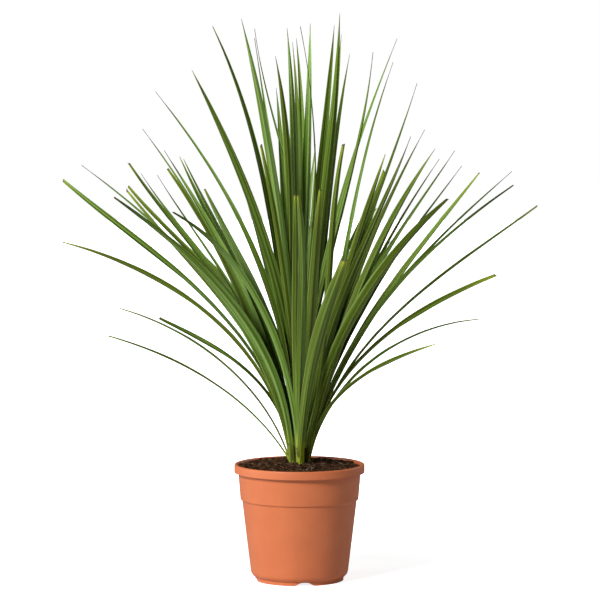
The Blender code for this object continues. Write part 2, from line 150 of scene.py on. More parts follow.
def ramp(value, start, end, low=0.0, high=1.0):
    """Map a number smoothly from one range to another, and clamp it there."""
    slots = {0: value, 1: start, 2: end, 3: low, 4: high}
    return wire_from(tree_of(value), "ShaderNodeMapRange", slots, interpolation_type="SMOOTHSTEP")


print("helpers for formulas:", maths.__name__, vectors.__name__, ramp.__name__)


# %% Trees and objects
def new_tree(name, kind, inputs, outputs):
    """A node group with named inputs and outputs. Returns it, a wire from each input, and its end."""
    tree = bpy.data.node_groups.new(name, kind)
    for label, form, value in inputs:
        socket = tree.interface.new_socket(label, in_out="INPUT", socket_type="NodeSocket" + form)
        if value is not None:
            socket.default_value = value
    for label, form in outputs:
        tree.interface.new_socket(label, in_out="OUTPUT", socket_type="NodeSocket" + form)
    start = tree.nodes.new("NodeGroupInput")
    given = {label: Wire(start.outputs[label]) for label, _, _ in inputs}
    return tree, given, tree.nodes.new("NodeGroupOutput")


def new_object(name, mesh):
    thing = bpy.data.objects.new(name, mesh)
    bpy.context.scene.collection.objects.link(thing)
    return thing


def keep_result(thing):
    """Put what an object's modifiers make in the place of its mesh, and remove them."""
    view = bpy.context.evaluated_depsgraph_get()
    made = bpy.data.meshes.new_from_object(thing.evaluated_get(view), preserve_all_data_layers=True,
                                           depsgraph=view)
    thing.modifiers.clear()
    thing.data = made
    made.name = thing.name


def run_tree(thing, tree, **values):
    """Run a Geometry Nodes tree on an object, with its inputs set by identifier, and keep the mesh."""
    modifier = thing.modifiers.new(tree.name, "NODES")
    modifier.node_group = tree
    for item in tree.interface.items_tree:
        key = item.name.lower().replace(" ", "_")
        if item.in_out == "INPUT" and key in values:
            modifier[item.identifier] = values[key]
    keep_result(thing)


def triangles(thing):
    return sum(len(face.vertices) - 2 for face in thing.data.polygons)


# %% [markdown]
# ## The camera
# The plant was photographed from far off with a long lens, from about the height of its tips, so its upright
# lines hardly converge. A lens of about 209 mm on a 36 mm sensor, four and a half metres away, gives the same
# narrow view. The camera is turned to look at a point half way up the plant.

# %% Camera
EYE = Vector((0.0007, -4.5, 0.735))
TARGET = Vector((0.0007, 0.0, 0.366))


def aim(thing, place, target):
    """Stand a camera or a lamp at a place, looking at a target."""
    thing.location = place
    thing.rotation_euler = (target - place).to_track_quat("-Z", "Y").to_euler()


camera_data = bpy.data.cameras.new("camera")
camera_data.lens = 208.7
camera_data.sensor_width = 36.0
camera = new_object("camera", camera_data)
aim(camera, EYE, TARGET)
bpy.context.scene.camera = camera
print("camera", round((TARGET - EYE).length, 3), "m from the plant")

# %% [markdown]
# ## Studio light and a white floor
# The plant stands on a pure white sweep. One big soft lamp stands to the left, in front and above, so the left
# of the pot and the leaves' upper faces are bright and the right of the pot falls into shade. White all round
# fills the shadows a little. The world shader shows the camera full white but lights the plant more gently,
# and so does the floor, which keeps a faint shadow where the pot stands.

# %% World and floor
WHITE = (1.0, 1.0, 1.0, 1.0)
FILL = 0.10
FILL_TINT = (0.97, 0.985, 1.0, 1.0)
FLOOR_RADIUS = 8.0
FLOOR_GREY = (0.66, 0.66, 0.66, 1.0)
FLOOR_GLOW = 0.83
SHADOW_REACH = (0.2, 0.9)


def new_material(name, **constants):
    """A material with one Principled shader, and its steady values set on the shader's own sockets."""
    material = bpy.data.materials.new(name)
    material.use_nodes = True
    shader = material.node_tree.nodes["Principled BSDF"]
    for key, value in constants.items():
        shader.inputs[key.replace("_", " ").title().replace("Ior", "IOR")].default_value = value
    return material, material.node_tree, shader


def object_place(tree):
    return wire_from(tree, "ShaderNodeTexCoord", out="Object")


def camera_ray(tree):
    return wire_from(tree, "ShaderNodeLightPath", out="Is Camera Ray")


def build_world():
    """A background that is pure white for the camera and only fills the shadows a little."""
    world = bpy.data.worlds.new("white studio")
    world.use_nodes = True
    tree = world.node_tree
    tree.nodes.clear()
    seen = place_node(tree, "ShaderNodeBackground", {"Color": WHITE, "Strength": 1.0})
    felt = place_node(tree, "ShaderNodeBackground", {"Color": FILL_TINT, "Strength": FILL})
    mixed = place_node(tree, "ShaderNodeMixShader", {0: camera_ray(tree)})
    tree.links.new(felt.outputs[0], mixed.inputs[1])
    tree.links.new(seen.outputs[0], mixed.inputs[2])
    tree.links.new(mixed.outputs[0], place_node(tree, "ShaderNodeOutputWorld").inputs[0])
    bpy.context.scene.world = world


def build_floor():
    """A matt disc that glows for the camera, least near the pot, so that only a trace of shadow is left."""
    disc = bmesh.new()
    bmesh.ops.create_circle(disc, cap_ends=True, segments=96, radius=FLOOR_RADIUS)
    mesh = bpy.data.meshes.new("floor")
    disc.to_mesh(mesh)
    disc.free()
    floor = new_object("floor", mesh)
    paper, tree, shader = new_material("white floor", base_color=FLOOR_GREY, roughness=0.9,
                                       specular_ior_level=0.0, emission_color=WHITE)
    glow = FLOOR_GLOW + ramp(length_of(object_place(tree)), *SHADOW_REACH)
    plug(shader.inputs["Emission Strength"], camera_ray(tree) * glow)
    mesh.materials.append(paper)


build_world()
build_floor()
print("floor:", 2 * FLOOR_RADIUS, "m across")

# %% Lamps
LAMPS = {  # place, width, power and colour
    "key": ((-1.95, -2.6, 2.4), 1.1, 164.0, (1.0, 0.98, 0.95)),
    "side": ((-2.9, -0.3, 0.7), 1.7, 30.0, (1.0, 0.99, 0.97)),
    "rim": ((2.6, 1.7, 1.2), 1.4, 20.0, (0.96, 0.98, 1.0)),
}
LAMP_TARGET = Vector((0.0, 0.0, 0.3))
for name, (place, width, power, colour) in LAMPS.items():
    lamp = bpy.data.lights.new(name, "AREA")
    lamp.shape = "DISK"
    lamp.size = width
    lamp.energy = power
    lamp.color = colour
    aim(new_object(name, lamp), Vector(place), LAMP_TARGET)
bpy.context.scene.view_settings.view_transform = "Standard"
print("lamps:", ", ".join(LAMPS))

# %% [markdown]
# ## Shared effects: mottling and grain
# Nothing here has one flat colour. Plastic is a little cloudy, soil is speckled, and leaves are streaked along
# their length. Two shader node groups hold these effects once, with named inputs, and each material places
# them with values of its own. They put out only numbers, and the Principled shader stays in the material.

# %% Mottling and streaks
STREAK_EDGES = (0.33, 0.67)
LINE_EDGES = (0.58, 0.70)


def noise_at(place, scale, detail=2.0, roughness=0.5, out="Fac"):
    slots = {"Vector": place, "Scale": scale, "Detail": detail, "Roughness": roughness}
    return wire_from(tree_of(place), "ShaderNodeTexNoise", slots, out)


def mottle_group():
    """Cloudy patches and fine grain on an object's own coordinates."""
    inputs = [("Patch size", "Float", 0.03), ("Grain size", "Float", 0.001), ("Contrast", "Float", 2.0)]
    outputs = [("Patches", "Float"), ("Grain", "Float")]
    tree, given, end = new_tree("mottle", "ShaderNodeTree", inputs, outputs)
    place = object_place(tree)
    patches = noise_at(place, 1.0 / given["Patch size"])
    grain = noise_at(place, 1.0 / given["Grain size"], 3.0)
    for label, value in (("Patches", patches), ("Grain", grain)):
        spread = maths("MULTIPLY_ADD", value - 0.5, given["Contrast"], 0.5)
        plug(end.inputs[label], ramp(spread, 0.0, 1.0))
    return tree


def streak_group():
    """Long streaks, thin lines and parallel veins that follow a blade, from its own across and along."""
    inputs = [("Across", "Float", 0.0), ("Along", "Float", 0.0), ("Seed", "Float", 0.0),
              ("Streak width", "Float", 0.001), ("Streak length", "Float", 0.1), ("Vein gap", "Float", 0.0008)]
    outputs = [("Streaks", "Float"), ("Lines", "Float"), ("Veins", "Float")]
    tree, given, end = new_tree("streaks", "ShaderNodeTree", inputs, outputs)
    across = given["Across"] / given["Streak width"]
    along = given["Along"] / given["Streak length"]
    broad = joined(across, along, given["Seed"] * 31.7)
    plug(end.inputs["Streaks"], ramp(noise_at(broad, 1.0), *STREAK_EDGES))
    thin = joined(across * 1.6, along * 0.5, given["Seed"] * 17.3 + 5.0)
    plug(end.inputs["Lines"], ramp(noise_at(thin, 1.0, 1.0), *LINE_EDGES))
    veins = maths("SINE", given["Across"] / given["Vein gap"] * math.tau)
    plug(end.inputs["Veins"], veins * 0.5 + 0.5)
    return tree


MOTTLE = mottle_group()
STREAKS = streak_group()
print("shader groups:", MOTTLE.name, STREAKS.name)


# %% Groups, colours and bumps in a material
def use_group(material, group, **values):
    """Place a shader group in a material. Returns its outputs as wires."""
    node = place_node(material.node_tree, "ShaderNodeGroup", node_tree=group)
    for key, value in values.items():
        plug(node.inputs[key.replace("_", " ").capitalize()], value)
    return {socket.name: Wire(socket) for socket in node.outputs}


def blend_colours(share, first, second):
    """Mix two colours, given as plain values or wires, by a share from 0 to 1."""
    node = place_node(tree_of(share, first, second), "ShaderNodeMix", data_type="RGBA")
    plug(node.inputs["Factor"], share)
    for slot, colour in zip([s for s in node.inputs if s.type == "RGBA"], (first, second)):
        plug(slot, colour if isinstance(colour, Wire) else (*colour, 1.0))
    return Wire(next(s for s in node.outputs if s.type == "RGBA"))


def raised(height, distance, strength=1.0):
    """A Bump node for a height from 0 to 1, over a distance in metres."""
    slots = {"Height": height, "Distance": distance, "Strength": strength}
    return wire_from(tree_of(height), "ShaderNodeBump", slots, "Normal")


print("materials so far:", [material.name for material in bpy.data.materials])

# %% [markdown]
# ## The pot
# A nursery pot is one thin moulding of polypropylene. It is a straight cone with a stepped collar near the
# top and a lip that folds over and down, so that it is stiff to lift, and it stands on a low ring with notches
# that let water out. Such a shape is turned: half of its section is drawn and spun round the axis. Each corner
# of the section gets a small arc first, because a moulded edge is never sharp and catches a line of light.

# %% The pot's section, with rounded corners
POT_SIDES = 168
ARC_STEPS = 5
POT_SECTION = [  # radius, height and rounding of each corner, in millimetres
    (55.6, 0.0, 0.4), (57.6, 0.0, 0.4), (57.6, 5.1, 0.5), (59.6, 5.5, 0.8), (63.2, 9.6, 4.0),
    (74.8, 104.4, 0.9), (77.0, 106.2, 0.7), (80.5, 148.2, 0.5), (83.4, 148.2, 0.5), (83.4, 141.2, 0.3),
    (85.0, 141.2, 0.5), (85.0, 152.0, 1.8), (80.4, 152.0, 1.8), (78.9, 141.2, 1.5), (75.5, 106.9, 1.5),
    (73.3, 104.9, 1.5), (61.2, 11.0, 3.0), (57.6, 7.0, 2.0), (6.0, 7.0, 0.5), (6.0, 5.5, 0.3),
    (55.6, 5.5, 0.4),
]
NOTCH_TURNS = [math.radians(6.7 - 90.0 + 90.0 * i) for i in range(4)]
NOTCH_HALF = [(16.0, -1.0), (14.0, 0.0), (11.0, 0.9), (8.6, 2.2), (6.6, 3.4), (4.6, 4.1), (2.0, 4.4)]
NOTCH_OUTLINE = [(-x, z) for x, z in NOTCH_HALF] + [(x, z) for x, z in reversed(NOTCH_HALF)]
NOTCH_REACH = (50.0, 63.0)
DRAIN_COUNT = 6
DRAIN_SIDES = 24
DRAIN_RING = 38.0
DRAIN_RADIUS = 4.5
DRAIN_CUT = (4.0, 8.5)
POT_SHARP = 38.0


def rounded(section):
    """The section with an arc at each corner."""
    points = []
    for i, (radius, height, rounding) in enumerate(section):
        corner = Vector((radius, height))
        before = Vector(section[i - 1][:2]) - corner
        after = Vector(section[(i + 1) % len(section)][:2]) - corner
        start = corner + before.normalized() * min(rounding, before.length * 0.45)
        end = corner + after.normalized() * min(rounding, after.length * 0.45)
        for step in range(ARC_STEPS + 1):
            share = step / ARC_STEPS
            points.append(start.lerp(corner, share).lerp(corner.lerp(end, share), share))
    return points


print("section:", len(rounded(POT_SECTION)), "points")


# %% Bodies from rings of points
def turns_of(count):
    """Even steps round a full turn."""
    return [math.tau * i / count for i in range(count)]


def outward(turn):
    """The level direction at an angle round the pot's axis."""
    return Vector((math.cos(turn), math.sin(turn), 0.0))


def to_object(name, shape, scale=MM):
    """Finish a bmesh as an object, with its faces turned outwards."""
    bmesh.ops.scale(shape, vec=(scale,) * 3, verts=shape.verts)
    bmesh.ops.recalc_face_normals(shape, faces=shape.faces)
    mesh = bpy.data.meshes.new(name)
    shape.to_mesh(mesh)
    shape.free()
    return new_object(name, mesh)


def prism(name, rings, scale=MM):
    """A closed solid through rings of points, with the first and last ring as its ends."""
    shape = bmesh.new()
    loops = [[shape.verts.new(point) for point in ring] for ring in rings]
    for lower, upper in zip(loops, loops[1:]):
        for i in range(len(lower)):
            shape.faces.new((lower[i - 1], lower[i], upper[i], upper[i - 1]))
    shape.faces.new(loops[0])
    shape.faces.new(loops[-1])
    return to_object(name, shape, scale)


def cut_away(thing, cutter):
    """Take one object out of another, and remove the cutter."""
    modifier = thing.modifiers.new("cut", "BOOLEAN")
    modifier.operation = "DIFFERENCE"
    modifier.solver = "EXACT"
    modifier.object = cutter
    keep_result(thing)
    bpy.data.objects.remove(cutter, do_unlink=True)


def smooth_below(thing, degrees):
    """Shade a piece smooth, apart from edges sharper than an angle."""
    thing.data.shade_smooth()
    thing.data.set_sharp_from_angle(angle=math.radians(degrees))


print("one drain hole is cut with", DRAIN_SIDES, "sides")


# %% Turn the section into the pot
def turn_section(name, points, sides):
    shape = bmesh.new()
    corners = [shape.verts.new((point.x, 0.0, point.y)) for point in points]
    edges = [shape.edges.new((corners[i - 1], corners[i])) for i in range(len(corners))]
    bmesh.ops.spin(shape, geom=corners + edges, cent=(0, 0, 0), axis=UP, angle=math.tau, steps=sides,
                   use_merge=True, use_duplicate=False)
    return to_object(name, shape)


def build_pot():
    pot = turn_section("nursery_pot", rounded(POT_SECTION), POT_SIDES)
    for turn in NOTCH_TURNS:
        out = outward(turn)
        along = UP.cross(out)
        rings = [[out * reach + along * x + UP * z for x, z in NOTCH_OUTLINE] for reach in NOTCH_REACH]
        cut_away(pot, prism("notch", rings))
    for turn in turns_of(DRAIN_COUNT):
        rim = [outward(turn) * DRAIN_RING + outward(a) * DRAIN_RADIUS for a in turns_of(DRAIN_SIDES)]
        cut_away(pot, prism("drain", [[point + UP * z for point in rim] for z in DRAIN_CUT]))
    smooth_below(pot, POT_SHARP)
    return pot


pot = build_pot()
print("pot:", triangles(pot), "triangles,", [round(side / MM, 1) for side in pot.dimensions], "mm")

# %% [markdown]
# ## The pot's finish
# The plastic is dyed a terracotta red-brown. It is satin, not glossy: a broad pale sheen lies on the side that
# faces the lamp. Close up it has a fine grain from the mould and faint clouds in the dye, and inside the rim,
# above the soil, a patchy darker brown that is partly dry soil dust and partly painted shade in that recess. A
# Principled shader with a roughness near a half gives the sheen, and the mottle group gives the clouds and the
# grain.

# %% Terracotta plastic
POT_DYE = (0.64, 0.178, 0.066)
POT_DEEP = (0.55, 0.143, 0.050)
# A darker brown for soil dust and for painted shade on the inner face of the lip
POT_DUST_AND_SHADE = (0.115, 0.060, 0.032)
DUST_SHADE_ABOVE = (0.1435, 0.1450)
DUST_SHADE_BELOW = (0.1515, 0.1470)
DUST_SHADE_INSIDE = (0.0802, 0.0798)
DUST_SHADE_SCALE = 260.0


def pot_material():
    material, tree, shader = new_material("terracotta plastic", specular_ior_level=0.45)
    clouds = use_group(material, MOTTLE, patch_size=0.035, grain_size=0.0006, contrast=1.6)
    colour = blend_colours(clouds["Patches"] * 0.5 + clouds["Grain"] * 0.25, POT_DYE, POT_DEEP)

    # Dust and painted shade lie only on the inner face of the lip: between two heights, and nearer to the axis
    # than its edge
    place = object_place(tree)
    x, y, height = split(place)
    inside = ramp(height, *DUST_SHADE_ABOVE) * ramp(height, *DUST_SHADE_BELOW)
    inside = ramp(length_of(joined(x, y)), *DUST_SHADE_INSIDE) * inside
    dust_and_shade = ramp(noise_at(place, DUST_SHADE_SCALE, 4.0, 0.7), 0.32, 0.56) * inside * 0.92
    plug(shader.inputs["Base Color"], blend_colours(dust_and_shade, colour, POT_DUST_AND_SHADE))
    plug(shader.inputs["Roughness"], 0.42 + clouds["Patches"] * 0.08 + clouds["Grain"] * 0.06)
    plug(shader.inputs["Normal"], raised(clouds["Grain"], 0.00004, 0.35))
    return material


pot.data.materials.append(pot_material())
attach(pot, "root")
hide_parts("pot")
print("pot finish:", pot.data.materials[0].name)

# %% [markdown]
# ## The soil bed
# Potting compost is peat and shredded bark. It fills the pot to just under the lip and is mounded up to the
# shoots. Its body is a closed form: rings of points for the lumpy top, then rings down inside the wall to the
# pot's floor, where it shows through the drain holes. Smooth noise at three sizes makes the lumps.

# %% The bed
SOIL_EDGE = 145.0
SOIL_CROWN = 152.5
MOUND_RADIUS = 46.0
BANK_HEIGHT = 3.2
BANK_TURN = math.radians(115.0)
SOIL_SIDES = 132
SOIL_RINGS = 44
SOIL_TOP_RADIUS = 78.9
SOIL_WALL = [(75.2, 107.2), (73.0, 105.2), (60.9, 11.3), (57.3, 7.3)]
RING_CROWDING = 0.85
LUMPS = [(14.0, 1.5), (5.0, 0.9), (2.2, 0.5)]  # width and height of each size of lump


def soil_height(x, y):
    """Top of the soil in millimetres: mounded at the shoots, banked up on one side, lumpy all over."""
    radius = math.hypot(x, y)
    mound = (SOIL_CROWN - SOIL_EDGE) / (1.0 + (radius / MOUND_RADIUS) ** 4)
    facing = 0.5 + 0.5 * math.cos(math.atan2(y, x) - BANK_TURN)
    bank = BANK_HEIGHT * facing ** 2 * min(1.0, radius / MOUND_RADIUS)
    spot = Vector((x, y, 0.0))
    lumps = sum(height * noise.noise(spot / width) for width, height in LUMPS)
    return SOIL_EDGE + mound + bank + lumps


def build_soil():
    shape = bmesh.new()
    turns = turns_of(SOIL_SIDES)
    rings = []
    for step in range(1, SOIL_RINGS + 1):
        radius = SOIL_TOP_RADIUS * (step / SOIL_RINGS) ** RING_CROWDING
        places = [(radius * math.cos(turn), radius * math.sin(turn)) for turn in turns]
        rings.append([shape.verts.new((x, y, soil_height(x, y))) for x, y in places])
    for radius, height in SOIL_WALL:
        rings.append([shape.verts.new((radius * math.cos(t), radius * math.sin(t), height)) for t in turns])
    peak = shape.verts.new((0.0, 0.0, soil_height(0.0, 0.0)))
    for i in range(SOIL_SIDES):
        shape.faces.new((peak, rings[0][i - 1], rings[0][i]))
    for upper, lower in zip(rings, rings[1:]):
        for i in range(SOIL_SIDES):
            shape.faces.new((upper[i - 1], lower[i - 1], lower[i], upper[i]))
    shape.faces.new(rings[-1])
    soil = to_object("soil_bed", shape)
    soil.data.shade_smooth()
    return soil


soil = build_soil()
print("soil bed:", triangles(soil), "triangles")

# %% [markdown]
# ## Crumbs, bark and fibres
# What makes soil look like soil is what lies loose on it. Here Geometry Nodes scatter it: points are spread
# over the bed's upper faces, a grain is set on each with its own turn and size, and the grains are realized, so
# that the export keeps them. The same tree runs for the crumbs, the bark chips and the pale fibres, each
# with its own grain and sizes, and noise moves the points of the realized mesh, so no two grains are alike.

# %% Three grains
CHIP_OUTLINE = [
    (-1.0, -0.35), (-0.5, -0.55), (0.3, -0.45), (1.0, -0.2), (0.85, 0.3), (0.1, 0.5), (-0.7, 0.4),
]
CHIP_LEVELS = (-0.16, 0.16)
FIBRE_STEPS = 6
FIBRE_RADIUS = 0.035


def lump_grain():
    shape = bmesh.new()
    bmesh.ops.create_uvsphere(shape, u_segments=6, v_segments=4, radius=1.0)
    for corner in shape.verts:
        corner.co *= 1.0 + 0.5 * noise.noise(corner.co * 1.3 + Vector((3.0, 1.0, 7.0)))
    return to_object("lump_grain", shape, 1.0)


def chip_grain():
    return prism("chip_grain", [[(x, y, z) for x, y in CHIP_OUTLINE] for z in CHIP_LEVELS], 1.0)


def fibre_grain():
    """A thin strand that bends like a shallow S."""
    rings = []
    for step in range(FIBRE_STEPS + 1):
        share = step / FIBRE_STEPS
        centre = Vector((2.0 * share - 1.0, 0.22 * math.sin(share * 5.0), 0.12 * math.sin(share * math.pi)))
        radius = FIBRE_RADIUS * (0.4 + math.sin(share * math.pi))
        rings.append([centre + Vector((0.0, math.cos(a), math.sin(a))) * radius for a in turns_of(4)])
    return prism("fibre_grain", rings, 1.0)


print("grains:", lump_grain.__name__, chip_grain.__name__, fibre_grain.__name__)


# %% The scatter tree
def stored(tree, name, form="FLOAT"):
    return wire_from(tree, "GeometryNodeInputNamedAttribute", {"Name": name}, data_type=form)


def store(tree, geometry, name, value, form="FLOAT", domain="POINT"):
    slots = {"Geometry": geometry, "Name": name, "Value": value}
    return wire_from(tree, "GeometryNodeStoreNamedAttribute", slots, data_type=form, domain=domain)


def chance(tree, low, high, seed, form="FLOAT"):
    """A random number, or a random vector, for each point."""
    first, out = (0, 0) if form == "FLOAT_VECTOR" else (2, 1)
    slots = {first: low, first + 1: high, "Seed": seed}
    return wire_from(tree, "FunctionNodeRandomValue", slots, out, data_type=form)


def finish_tree(tree, geometry, given, end):
    """End a tree by setting its material on the mesh."""
    slots = {"Geometry": geometry, "Material": given["Material"]}
    plug(end.inputs[0], wire_from(tree, "GeometryNodeSetMaterial", slots))
    return tree


def scatter_tree():
    inputs = [("Geometry", "Geometry", None), ("Grain", "Object", None),
              ("Count per square metre", "Float", 1e5), ("Smallest", "Float", 0.001),
              ("Largest", "Float", 0.003), ("Lift", "Float", 0.0), ("Tip up", "Float", 1.0),
              ("Roughen", "Float", 0.2), ("Lowest", "Float", 0.14), ("Seed", "Int", 1),
              ("Material", "Material", None)]
    tree, given, end = new_tree("scatter", "GeometryNodeTree", inputs, [("Geometry", "Geometry")])

    # Points on the upper faces of the bed, lifted a little
    spot = wire_from(tree, "GeometryNodeInputPosition")
    upward = maths("GREATER_THAN", split(wire_from(tree, "GeometryNodeInputNormal"))[2], 0.5)
    high = maths("GREATER_THAN", split(spot)[2], given["Lowest"])
    top = wire_from(tree, "GeometryNodeFieldOnDomain", {0: upward * high}, domain="FACE")
    slots = {"Mesh": given["Geometry"], "Selection": top, "Density": given["Count per square metre"],
             "Seed": given["Seed"]}
    points = wire_from(tree, "GeometryNodeDistributePointsOnFaces", slots, "Points")
    slots = {"Geometry": points, "Offset": joined(0.0, 0.0, given["Lift"])}
    points = wire_from(tree, "GeometryNodeSetPosition", slots)

    # A grain on each point, with its own turn and size, and most of the sizes small
    grain = wire_from(tree, "GeometryNodeObjectInfo", {"Object": given["Grain"]}, "Geometry")
    tilt = split(chance(tree, (-1.0, -1.0, -1.0), (1.0, 1.0, 1.0), given["Seed"] + 1, "FLOAT_VECTOR"))
    turn = joined(tilt[0] * given["Tip up"], tilt[1] * given["Tip up"], tilt[2] * math.pi)
    rotation = wire_from(tree, "FunctionNodeEulerToRotation", {0: turn})
    draw = chance(tree, 0.0, 1.0, given["Seed"] + 2)
    size = given["Smallest"] + (given["Largest"] - given["Smallest"]) * draw ** 2.5
    slots = {"Points": points, "Instance": grain, "Rotation": rotation, "Scale": size}
    grains = wire_from(tree, "GeometryNodeInstanceOnPoints", slots)
    grains = store(tree, grains, "tone", chance(tree, 0.0, 1.0, given["Seed"] + 3), domain="INSTANCE")
    grains = store(tree, grains, "size", size, domain="INSTANCE")

    # Real grains, each roughened by noise in step with its size
    real = wire_from(tree, "GeometryNodeRealizeInstances", {"Geometry": grains})
    push = noise_at(spot, 1.2 / given["Largest"], 1.0, out="Color")
    offset = vectors("SUBTRACT", push, (0.5, 0.5, 0.5)) * (given["Roughen"] * stored(tree, "size"))
    moved = wire_from(tree, "GeometryNodeSetPosition", {"Geometry": real, "Offset": offset})
    return finish_tree(tree, moved, given, end)


SCATTER = scatter_tree()
print("scatter tree:", len(SCATTER.nodes), "nodes")

# %% [markdown]
# ## The soil's finish
# Damp compost is nearly black, with browner and redder crumbs, and the bark and the fibres are lighter. Every
# grain keeps the random tone that the scatter tree stored on it, so one material can colour each grain
# differently. The bed below reads no tone, and gets its variation from noise at the size of a crumb.

# %% Soil, bark and fibre materials
SOIL_DARK = (0.010, 0.0048, 0.0025)
SOIL_BROWN = (0.115, 0.050, 0.019)
BARK_DARK = (0.035, 0.015, 0.008)
BARK_LIGHT = (0.16, 0.075, 0.035)
FIBRE_DARK = (0.12, 0.066, 0.035)
FIBRE_LIGHT = (0.52, 0.38, 0.25)


def attribute(tree, name):
    """An attribute of the piece's own points, as a number."""
    return wire_from(tree, "ShaderNodeAttribute", out="Fac", attribute_type="GEOMETRY", attribute_name=name)


def earth_material(name, dark, light, toned, roughness):
    material, tree, shader = new_material(name, roughness=roughness, specular_ior_level=0.12)
    speckle = use_group(material, MOTTLE, patch_size=0.004, grain_size=0.0007, contrast=2.6)
    share = speckle["Patches"] * 0.6 + speckle["Grain"] * 0.3
    if toned:
        share = attribute(tree, "tone") ** 2.0 * 0.75 + share * 0.3
    plug(shader.inputs["Base Color"], blend_colours(share, dark, light))
    plug(shader.inputs["Normal"], raised(speckle["Grain"], 0.0006, 0.8))
    return material


soil.data.materials.append(earth_material("damp compost", SOIL_DARK, SOIL_BROWN, False, 0.95))
CRUMB = earth_material("compost crumbs", SOIL_DARK, SOIL_BROWN, True, 0.95)
BARK = earth_material("bark chips", BARK_DARK, BARK_LIGHT, True, 0.8)
FIBRE = earth_material("pale fibres", FIBRE_DARK, FIBRE_LIGHT, True, 0.85)
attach(soil, "root")
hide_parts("soil")
print("soil finishes:", CRUMB.name, "/", BARK.name, "/", FIBRE.name)

# %% Scatter the grains
GRAIN_SHARP = 40.0
GRAINS = {  # grain, count per square metre, smallest and largest in metres, lift, tip up, roughen, finish
    "soil_crumbs": (lump_grain, 110000.0, 0.0006, 0.0030, 0.0004, 1.0, 0.8, CRUMB),
    "bark_chips": (chip_grain, 14000.0, 0.0014, 0.0048, 0.0008, 0.5, 0.25, BARK),
    "soil_fibres": (fibre_grain, 26000.0, 0.0022, 0.0075, 0.0010, 0.35, 0.25, FIBRE),
}
for seed, (name, facts) in enumerate(GRAINS.items()):
    make_grain, count, smallest, largest, lift, tip_up, roughen, finish = facts
    grain = make_grain()
    grains = new_object(name, soil.data.copy())
    run_tree(grains, SCATTER, grain=grain, count_per_square_metre=count, smallest=smallest, largest=largest,
             lift=lift, tip_up=tip_up, roughen=roughen, seed=7 + 5 * seed, material=finish)
    bpy.data.objects.remove(grain, do_unlink=True)
    smooth_below(grains, GRAIN_SHARP)
    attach(grains, "root")
    print(name + ":", triangles(grains), "triangles")
